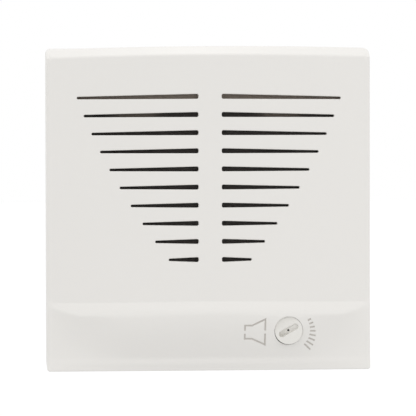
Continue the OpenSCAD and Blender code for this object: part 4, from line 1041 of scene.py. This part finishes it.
SCALE_X, SCALE_Z = KNOB_X + 0.39, KNOB_Z - 0.05
TICKS = 8
TICK_START, TICK_ARC = 29, 72
TICK_IN, TICK_OUT, TICK_GROW = 5.9, 6.4, 1.4
SIGN_X, SIGN_Z = KNOB_X - 9.4, KNOB_Z - 0.38
SIGN_WIDE, SIGN_TALL = 0.99, 0.98
marks = []
for i in range(TICKS):
    angle = math.radians(TICK_START - TICK_ARC / (TICKS - 1) * i)
    reach = np.linspace(TICK_IN, TICK_OUT + TICK_GROW * i / (TICKS - 1), 4)
    marks.append(np.stack([SCALE_X + reach * math.cos(angle), SCALE_Z + reach * math.sin(angle)], 1))
for s in (-1, 1):
    corners = np.array([[-2.85, 0.68], [-2.85, 1.9], [-0.85, 1.9], [2.85, 3.65], [2.85, 0.68]])
    steps = np.linspace(0, 4, 9)
    sign = np.stack([np.interp(steps, range(5), corners[:, k]) for k in (0, 1)], 1)
    marks.append(sign * [SIGN_WIDE, SIGN_TALL * s] + [SIGN_X, SIGN_Z])


def segment_gap(points, line):
    """Distance of each point from a broken line."""
    a, b = line[:-1], line[1:]
    v = b - a
    t = ((points[:, None] - a) * v).sum(2) / (v * v).sum(1)
    near = a + np.clip(t, 0, 1)[..., None] * v
    return np.linalg.norm(points[:, None] - near, axis=2).min(1)


def free_points(x, z, border, near):
    """Grid points that keep clear of the outline by a border, and of the slots and the hole by `near`."""
    gx, gz = (g.ravel() for g in np.meshgrid(x, z))
    p = np.stack([gx, gz], 1)
    keep = (np.abs(gx) < CASE - border) & (gz > border - CASE)
    keep &= gz + top_fall(gx) < CASE - border
    for zr, end, dip in zip(slot_z, slot_end, slot_dip):
        run = np.clip((np.abs(gx) - SLOT_IN) / (end - SLOT_IN), 0, 1)
        half = SLOT_W_IN / 2 + run * (SLOT_W_OUT - SLOT_W_IN) / 2
        keep &= ~((np.abs(gx) > SLOT_IN - near) & (np.abs(gx) < end + near)
                  & (np.abs(gz - zr + run * dip) < half + near))
    keep &= np.hypot(gx - HOLE_X, gz - HOLE_Z) > HOLE_R + near
    return p[keep]


def quarter(size, steps):
    """Quarter round of an edge: (how far in, how far down) from the wall up to the flat."""
    a = np.linspace(math.pi / 2, 0, steps)
    return list(zip(size * (1 - np.sin(a)), size * (1 - np.cos(a))))


def edge_loop(grow, drop):
    """A loop of the rounded edge: the outline set in, and how far down it lies. The round is half as
    large along the bottom."""
    loop = case_outline(grow)
    low = np.clip((EDGE_LOW - loop[:, 1]) / EDGE_LOW_RUN, 0, 1) / 2
    loop[:, 1] -= grow * low
    return loop, drop * (1 - low), -1


def skin(loops, points, inset):
    """Triangulates loops of (outline, drop, hole number) and free points, and lifts them to the front.
    Triangles whose corners all lie on one hole's outline are left out."""
    flat = np.concatenate([l for l, _, _ in loops] + [points])
    drop = np.concatenate([np.broadcast_to(d, len(l)) for l, d, _ in loops] + [np.zeros(len(points))])
    label = np.concatenate([np.full(len(l), n) for l, _, n in loops] + [np.full(len(points), -1)])
    starts = np.cumsum([0] + [len(l) for l, _, _ in loops])
    edges = np.concatenate([
        np.stack([np.arange(len(l)), np.roll(np.arange(len(l)), -1)], 1) + at
        for (l, _, _), at in zip(loops, starts)])
    made = delaunay_2d_cdt(flat.tolist(), edges.tolist(), [], 0, 1e-6)
    if len(made[0]) != len(flat):
        raise ValueError(f"{len(made[0]) - len(flat)} outlines of the front cross")
    tris = np.array(made[2])
    inside = (label[tris] == label[tris[:, :1]]).all(1) & (label[tris[:, 0]] >= 0)
    depth = front_depth(flat[:, 0], flat[:, 1], inset) - drop
    return np.stack([flat[:, 0], -depth, flat[:, 1]], 1), tris[~inside], starts


def band_faces(a, b, count):
    """Quads between two closed loops of point numbers that start at a and b."""
    i = np.arange(count)
    j = (i + 1) % count
    return np.stack([a + i, a + j, b + j, b + i], 1)


edge_rounds = quarter(EDGE, 5) + [(EDGE + 0.5, 0.0)]
slot_rounds = quarter(SLOT_EDGE, 4) + [(SLOT_EDGE + 0.16, 0.0)]
hole_rounds = quarter(HOLE_EDGE, 4) + [(0.3, 0.0), (0.55, 0.0)]
groove_steps = ((0.1, 0.0), (0.0, 0.02), (-0.06, GROOVE_D * 0.75), (-0.14, GROOVE_D))
outer_loops = [edge_loop(grow, drop) for grow, drop in edge_rounds]
for grow, drop in slot_rounds:
    outer_loops += [(l, drop, n if grow == 0 else -1) for n, l in enumerate(slot_loops(grow))]
outer_loops += [(ring(HOLE_R + grow), drop, SLOTS if grow == 0 else -1) for grow, drop in hole_rounds]
first_mark = len(outer_loops)
for line in marks:
    outer_loops += [(stroke(line, GROOVE_W / 2 + grow), drop, -1) for grow, drop in groove_steps]
z_lines = np.concatenate([
    np.arange(-25.0, 41.3, 1.25), np.arange(-43.4, -41.9, 0.5), np.arange(-41.9, -41, 0.2),
    np.arange(-41, -31, 0.6), np.arange(-31, -26.3, 0.2), np.arange(-26.3, -25.15, 0.1),
    np.arange(41.3, 43.3, 0.15), [43.5]])
CLEAR = 0.55
grid = free_points(np.arange(-43.2, 43.3, 1.2), z_lines, EDGE + 0.75, CLEAR)
clear = np.min([segment_gap(grid, line) for line in marks], axis=0) > CLEAR
outer, outer_tris, outer_at = skin(outer_loops, grid[clear], 0.0)

inner_loops = [(case_outline(WALL, arched=False), 0.0, -1)]
inner_loops += [(l, 0.0, n) for n, l in enumerate(slot_loops(0))]
inner_loops.append((ring(COLLAR_R), 0.0, SLOTS))
inner_lines = np.arange(-42, 42.1, 2)
inner_grid = free_points(inner_lines, inner_lines, WALL + 0.8, 1.5)
inner, inner_tris, inner_at = skin(inner_loops, inner_grid, WALL)

outline_n = len(case_outline(0))
slot_n = slot_loops(0).shape[1]
rim_path = ((0, SEAT + 0.3), (0.09, SEAT + 0.09), (0.3, SEAT), (1.7, SEAT), (2.0, SEAT + 0.3))
rims = [np.insert(case_outline(inset, arched=False), 1, -depth, 1) for inset, depth in rim_path]
collar = [np.insert(ring(HOLE_R), 1, -COLLAR_END, 1), np.insert(ring(COLLAR_R), 1, -COLLAR_END, 1)]
STOP_Z, STOP_D0, STOP_D1, STOP_T, STOP_L = 22.5, 9.1, 15.1, 1.2, 3
stop_in, stop_out = CASE - WALL - STOP_L + STOP_T / 2, CASE - WALL
stops = strips([[(s * stop_in, t * STOP_Z), (s * stop_out, t * STOP_Z)] for s in (-1, 1) for t in (-1, 1)],
               STOP_T, STOP_D0, STOP_D1)
parts = [outer, inner, *rims, *collar, stops[0]]
at = np.cumsum([0] + [len(p) for p in parts])
inner_from, rims_from, collar_from, stops_from = at[1], at[2:-4], at[-4:-2], at[-2]
faces = outer_tris.tolist() + (inner_tris + inner_from).tolist() + (stops[1] + stops_from).tolist()
chain = [0, *rims_from, inner_from]
for a, b in zip(chain[:-1], chain[1:]):
    faces += band_faces(a, b, outline_n).tolist()
first_slot = len(edge_rounds)
for n in range(SLOTS):
    faces += band_faces(outer_at[first_slot + n], inner_from + inner_at[1 + n], slot_n).tolist()
first_hole = first_slot + SLOTS * len(slot_rounds)
chain = [outer_at[first_hole], *collar_from, inner_from + inner_at[1 + SLOTS]]
for a, b in zip(chain[:-1], chain[1:]):
    faces += band_faces(a, b, RING_N).tolist()
# The engraved marks are coloured grey inside: none at their rim, half at the first step in, full from the
# next step to their floor. The grey is given in the cover's finish below.
stain = np.zeros(at[-1])
for k in range(first_mark, len(outer_loops)):
    stain[outer_at[k]:outer_at[k + 1]] = (0, 0.5, 1, 1)[(k - first_mark) % 4]
cover_plastic = finish("cover_moulding", shade(227.4, 225.3, 221.5), shade(225.4, 223.3, 219.5), 0.42,
                       grains=1800, fleck=0.25, relief=0.003, stain=shade(194, 190, 184))
put("front_cover_moulding", (np.concatenate(parts), faces), cover_plastic, "cover", "case_plastic",
    "front_cover", sharp=40, stain=stain)

# Lining: a strip of grey-brown felt stuck inside the cover behind the top row of slots, and below it
# a thin dark cloth that keeps dust out of the loudspeaker.
FELT = span("felt_strip")
CLOTH = span("dust_cloth")
FELT_T = 1.0
CLOTH_T = 0.25
CLOTH_BORDER = 2.0
LINING_R = FACE_R - WALL - GLUE
LINING_N = 65
LIT_PATCH_X, LIT_PATCH_WIDE = 20, 6
LIT_PATCH_Z, LIT_PATCH_TALL = 27, 2.5


def lining(low, top, reach, thick):
    """A sheet on the inside of the bowed front between two heights, as wide as `reach` gives for each
    height. It thins out along its edges in a quarter round."""
    spread = np.sin(np.linspace(-math.pi / 2, math.pi / 2, LINING_N))
    z = (low + top) / 2 + (top - low) / 2 * spread
    side = reach(z)[:, None]
    x = side * spread
    z = np.broadcast_to(z[:, None], x.shape)
    edge = np.minimum(side - np.abs(x), np.minimum(top - z, z - low))
    inward = 1 - np.clip(edge / thick, 0, 1)
    front = bowed(x, LINING_R)
    back = front - thick * np.sqrt(1 - inward ** 2)
    points = np.stack([np.stack([x, -front, z], 2), np.stack([x, -back, z], 2)]).reshape(-1, 3)
    faces = grid_faces(LINING_N, LINING_N, close_rows=False, close_cols=False)
    return points, np.concatenate([faces, faces[:, ::-1] + LINING_N ** 2])


felt = finish("grey_felt", shade(136, 126, 117), shade(112, 103, 95), 0.95, grains=2600, fleck=0.8,
              relief=0.08)
felt_shape = lining(FELT[4], FELT[5], lambda z: np.full(len(z), FELT[1]), FELT_T)
put("slot_felt_strip", felt_shape, felt, "cover", "felt", "felt_strip")
cloth_z = np.linspace(CLOTH[4], CLOTH[5], SLOT_ROWS)
cloth_side = slot_end[::-1] + CLOTH_BORDER
cloth_shape = lining(CLOTH[4], CLOTH[5], lambda z: np.interp(z, cloth_z, cloth_side), CLOTH_T)
cloth_x, _, cloth_up = cloth_shape[0].T
# Two lighter patches near the top of the cloth, one each side of the middle, behind the upper slots: a
# painted pool of light. The laid colour below is their lighter grey.
painted_light_patches = np.exp(-((np.abs(cloth_x) - LIT_PATCH_X) / LIT_PATCH_WIDE) ** 4 - ((cloth_up - LIT_PATCH_Z) / LIT_PATCH_TALL) ** 2)
cloth = finish("dark_cloth", shade(54, 50, 48), shade(44, 41, 39), 0.95, grains=3800, fleck=0.8, relief=0.04,
               stain=shade(100, 92, 85))
cloth_piece = put("slot_dust_cloth", cloth_shape, cloth, "cover", "screen_cloth", "dust_cloth", stain=painted_light_patches)

# Volume knob: a disc in the same plastic, coloured a shade darker than the cover as painted shade, on a
# long stem, flush in its hole. The screwdriver notch across it is its pointer: it is deeper at the end
# that is set, with a small pit from the mould whose inside is coloured near black as painted shade.
NOTCH_L = 6.0
NOTCH_W = 1.8
NOTCH_TURN = math.radians(29)
NOTCH_SHALLOW = 0.5
NOTCH_DEEP = 1.4
DISC_H = 2.4
STEM_R = 2.5
SHAFT_R = 1.52
PIT_R = 0.3
PIT_SINK = 0.5
KNOB_EDGE = 0.1
KNOB_N = 192
FLOOR_TILT = 0.35
WALL_LOW, WALL_UP, WALL_BACK = 0.25, 0.4, 0.12
SHAFT_TOP = span("potentiometer_rotor")[3] + TOUCH
knob_face = KNOB[3]
around = np.linspace(0, 2 * math.pi, KNOB_N, endpoint=False)


def notch_reach(inset):
    """How far the notch's outline, set in, lies from its middle in each direction: two straight sides
    joined by half rounds."""
    half, ends = NOTCH_W / 2 - inset, (NOTCH_L - NOTCH_W) / 2
    c, s = np.abs(np.cos(around)), np.maximum(np.abs(np.sin(around)), 1e-6)
    round_end = ends * c + np.sqrt(np.maximum(half ** 2 - (ends * s) ** 2, 0))
    return np.where(ends * s > half * c, half / s, round_end)


def notch_floor(reach):
    """Depth of the notch's floor: it slopes down to the set end and to the lower side."""
    u, v = reach * np.cos(around), reach * np.sin(around)
    slope = NOTCH_SHALLOW + (NOTCH_DEEP - NOTCH_SHALLOW) * (0.5 - u / NOTCH_L)
    return slope * (1 - FLOOR_TILT * v / (NOTCH_W / 2))


disc_line = rounded([[0, knob_face], [KNOB_R, knob_face], [KNOB_R, knob_face - DISC_H],
                     [STEM_R, knob_face - DISC_H], [STEM_R, KNOB[2]], [SHAFT_R, KNOB[2]],
                     [SHAFT_R, SHAFT_TOP], [0, SHAFT_TOP]], KNOB_EDGE)
disc_line = np.concatenate([disc_line[ROUND_STEPS:-ROUND_STEPS], [[0, SHAFT_TOP]]])[::-1]
reach = [np.full(KNOB_N, r) for r in disc_line[:, 0]]
depth = [np.full(KNOB_N, d) for d in disc_line[:, 1]]
stained = [0] * len(disc_line)
upper = np.maximum(np.sin(around), 0)
wall_w = WALL_LOW + WALL_UP * upper
for share in np.linspace(-0.2, 1, 9):
    reach.append(notch_reach(share * wall_w - WALL_BACK * upper))
    ease = np.clip(share, 0, 1) ** 2 * (3 - 2 * np.clip(share, 0, 1))
    depth.append(knob_face - ease * notch_floor(reach[-1]))
    stained.append(0)
floor_edge = reach[-1]
for share in (0.8, 0.6, 0.4, 0.2):
    reach.append(share * floor_edge + (1 - share) * PIT_R)
    depth.append(knob_face - notch_floor(reach[-1]))
    stained.append(0)
# The pit's wall and floor take the laid colour, near black: painted shade of a deep hole.
for r, sink, tone in ((PIT_R, 0, 0), (PIT_R * 0.94, 0.1, 1), (PIT_R * 0.9, PIT_SINK, 1), (0, PIT_SINK, 1)):
    reach.append(np.full(KNOB_N, r))
    depth.append(knob_face - notch_floor(reach[-1]) - sink)
    stained.append(tone)
reach, depth = np.array(reach), np.array(depth)
turned_to = around + NOTCH_TURN
knob_points = np.stack([KNOB_X + reach * np.cos(turned_to), -depth, KNOB_Z + reach * np.sin(turned_to)], 2)
knob_shape = knob_points.reshape(-1, 3), grid_faces(len(reach), KNOB_N, close_rows=False)
# The knob's colours are a little darker than the cover's: painted shade on the disc. Its laid colour is the
# near black of the pit's painted shade.
knob_plastic = finish("knob_moulding", shade(225, 223, 218), shade(223, 221, 216), 0.42, grains=1800,
                      fleck=0.25, relief=0.003, stain=shade(30, 29, 28))
put("volume_knob_moulding", knob_shape, knob_plastic, "knob", "knob_plastic", "volume_knob",
    stain=np.repeat(np.array(stained, float), KNOB_N))

# Studio: a pale floor well below the object, a white surround, a soft box to the right and a small lamp
# above and behind that lights the bevel along the top. The surround and the floor read as white where
# they are seen or mirrored. The camera stands where the picture was taken from.
FLOOR_Z = -0.16
FLOOR_HALF = 6
FLOOR_TONE = 0.68
FLOOR_LIFT = 0.23
SURROUND = 1.16
SURROUND_SEEN = 1.0
floor_mesh = bpy.data.meshes.new("floor")
corners = [(x * FLOOR_HALF, y * FLOOR_HALF, FLOOR_Z) for x, y in ((-1, -1), (1, -1), (1, 1), (-1, 1))]
floor_mesh.from_pydata(corners, [], [(0, 1, 2, 3)])
floor = bpy.data.objects.new("floor", floor_mesh)
bpy.context.scene.collection.objects.link(floor)
paper_floor = bpy.data.materials.new("paper_floor")
paper_floor.use_nodes = True
nodes, links = paper_floor.node_tree.nodes, paper_floor.node_tree.links
nodes["Principled BSDF"].inputs["Base Color"].default_value = (FLOOR_TONE, FLOOR_TONE, FLOOR_TONE, 1)
nodes["Principled BSDF"].inputs["Roughness"].default_value = 0.9
light_path = nodes.new("ShaderNodeLightPath")
lift_share = math_node(nodes, "MULTIPLY", None, FLOOR_LIFT)
links.new(light_path.outputs["Is Camera Ray"], lift_share.inputs[0])
nodes["Principled BSDF"].inputs["Emission Color"].default_value = (1, 1, 1, 1)
links.new(lift_share.outputs[0], nodes["Principled BSDF"].inputs["Emission Strength"])
floor_mesh.materials.append(paper_floor)

world = bpy.data.worlds.new("surround")
bpy.context.scene.world = world
world.use_nodes = True
nodes, links = world.node_tree.nodes, world.node_tree.links
back = nodes["Background"]
path = nodes.new("ShaderNodeLightPath")
seen = math_node(nodes, "MAXIMUM")
links.new(path.outputs["Is Camera Ray"], seen.inputs[0])
links.new(path.outputs["Is Transmission Ray"], seen.inputs[1])
mirrored = math_node(nodes, "MAXIMUM")
links.new(seen.outputs[0], mirrored.inputs[0])
links.new(path.outputs["Is Glossy Ray"], mirrored.inputs[1])
pick = nodes.new("ShaderNodeMix")
links.new(mirrored.outputs[0], pick.inputs["Factor"])
pick.inputs["A"].default_value = SURROUND
pick.inputs["B"].default_value = SURROUND_SEEN
links.new(pick.outputs["Result"], back.inputs["Strength"])
back.inputs["Color"].default_value = (1, 1, 1, 1)


def area_lamp(name, place, aim, energy, wide, tall, spread=180):
    """A rectangular lamp at a place, turned to a point, with its light kept within `spread` degrees."""
    light = bpy.data.lights.new(name, "AREA")
    light.shape = "RECTANGLE"
    light.size, light.size_y = wide, tall
    light.energy = energy
    light.spread = math.radians(spread)
    lamp = bpy.data.objects.new(name, light)
    bpy.context.scene.collection.objects.link(lamp)
    lamp.location = place
    lamp.rotation_euler = (Vector(aim) - lamp.location).to_track_quat("-Z", "Y").to_euler()


area_lamp("softbox", (0.5, -0.6, 0.15), (0, 0, 0), 0.25, 0.6, 0.5)
area_lamp("top_lamp", (0, 0.18, 0.45), (0, -0.027, 0.044), 0.0007, 0.06, 0.06, spread=16)

PICTURE = 416
FOCAL = 2673.9
SENSOR = 36
EYE = (-0.05377, -0.76563, 0.02146)
YAW, PITCH, ROLL = -4.135, -1.65, -0.113
lens = bpy.data.cameras.new("camera")
lens.sensor_width = SENSOR
lens.lens = FOCAL / PICTURE * SENSOR
lens.clip_start = 0.01
camera = bpy.data.objects.new("camera", lens)
bpy.context.scene.collection.objects.link(camera)
yaw, pitch, roll = (math.radians(a) for a in (YAW, PITCH, ROLL))
ahead = np.array([-math.sin(yaw) * math.cos(pitch), math.cos(yaw) * math.cos(pitch), math.sin(pitch)])
right = np.array([math.cos(yaw), math.sin(yaw), 0])
above = np.cross(right, ahead)
right, above = (math.cos(roll) * right + math.sin(roll) * above,
                math.cos(roll) * above - math.sin(roll) * right)
turn = np.eye(4)
turn[:3, 0], turn[:3, 1], turn[:3, 2] = right, above, -ahead
turn[:3, 3] = EYE
camera.matrix_world = Matrix(turn.tolist())
bpy.context.scene.camera = camera
bpy.context.scene.view_settings.view_transform = "Standard"
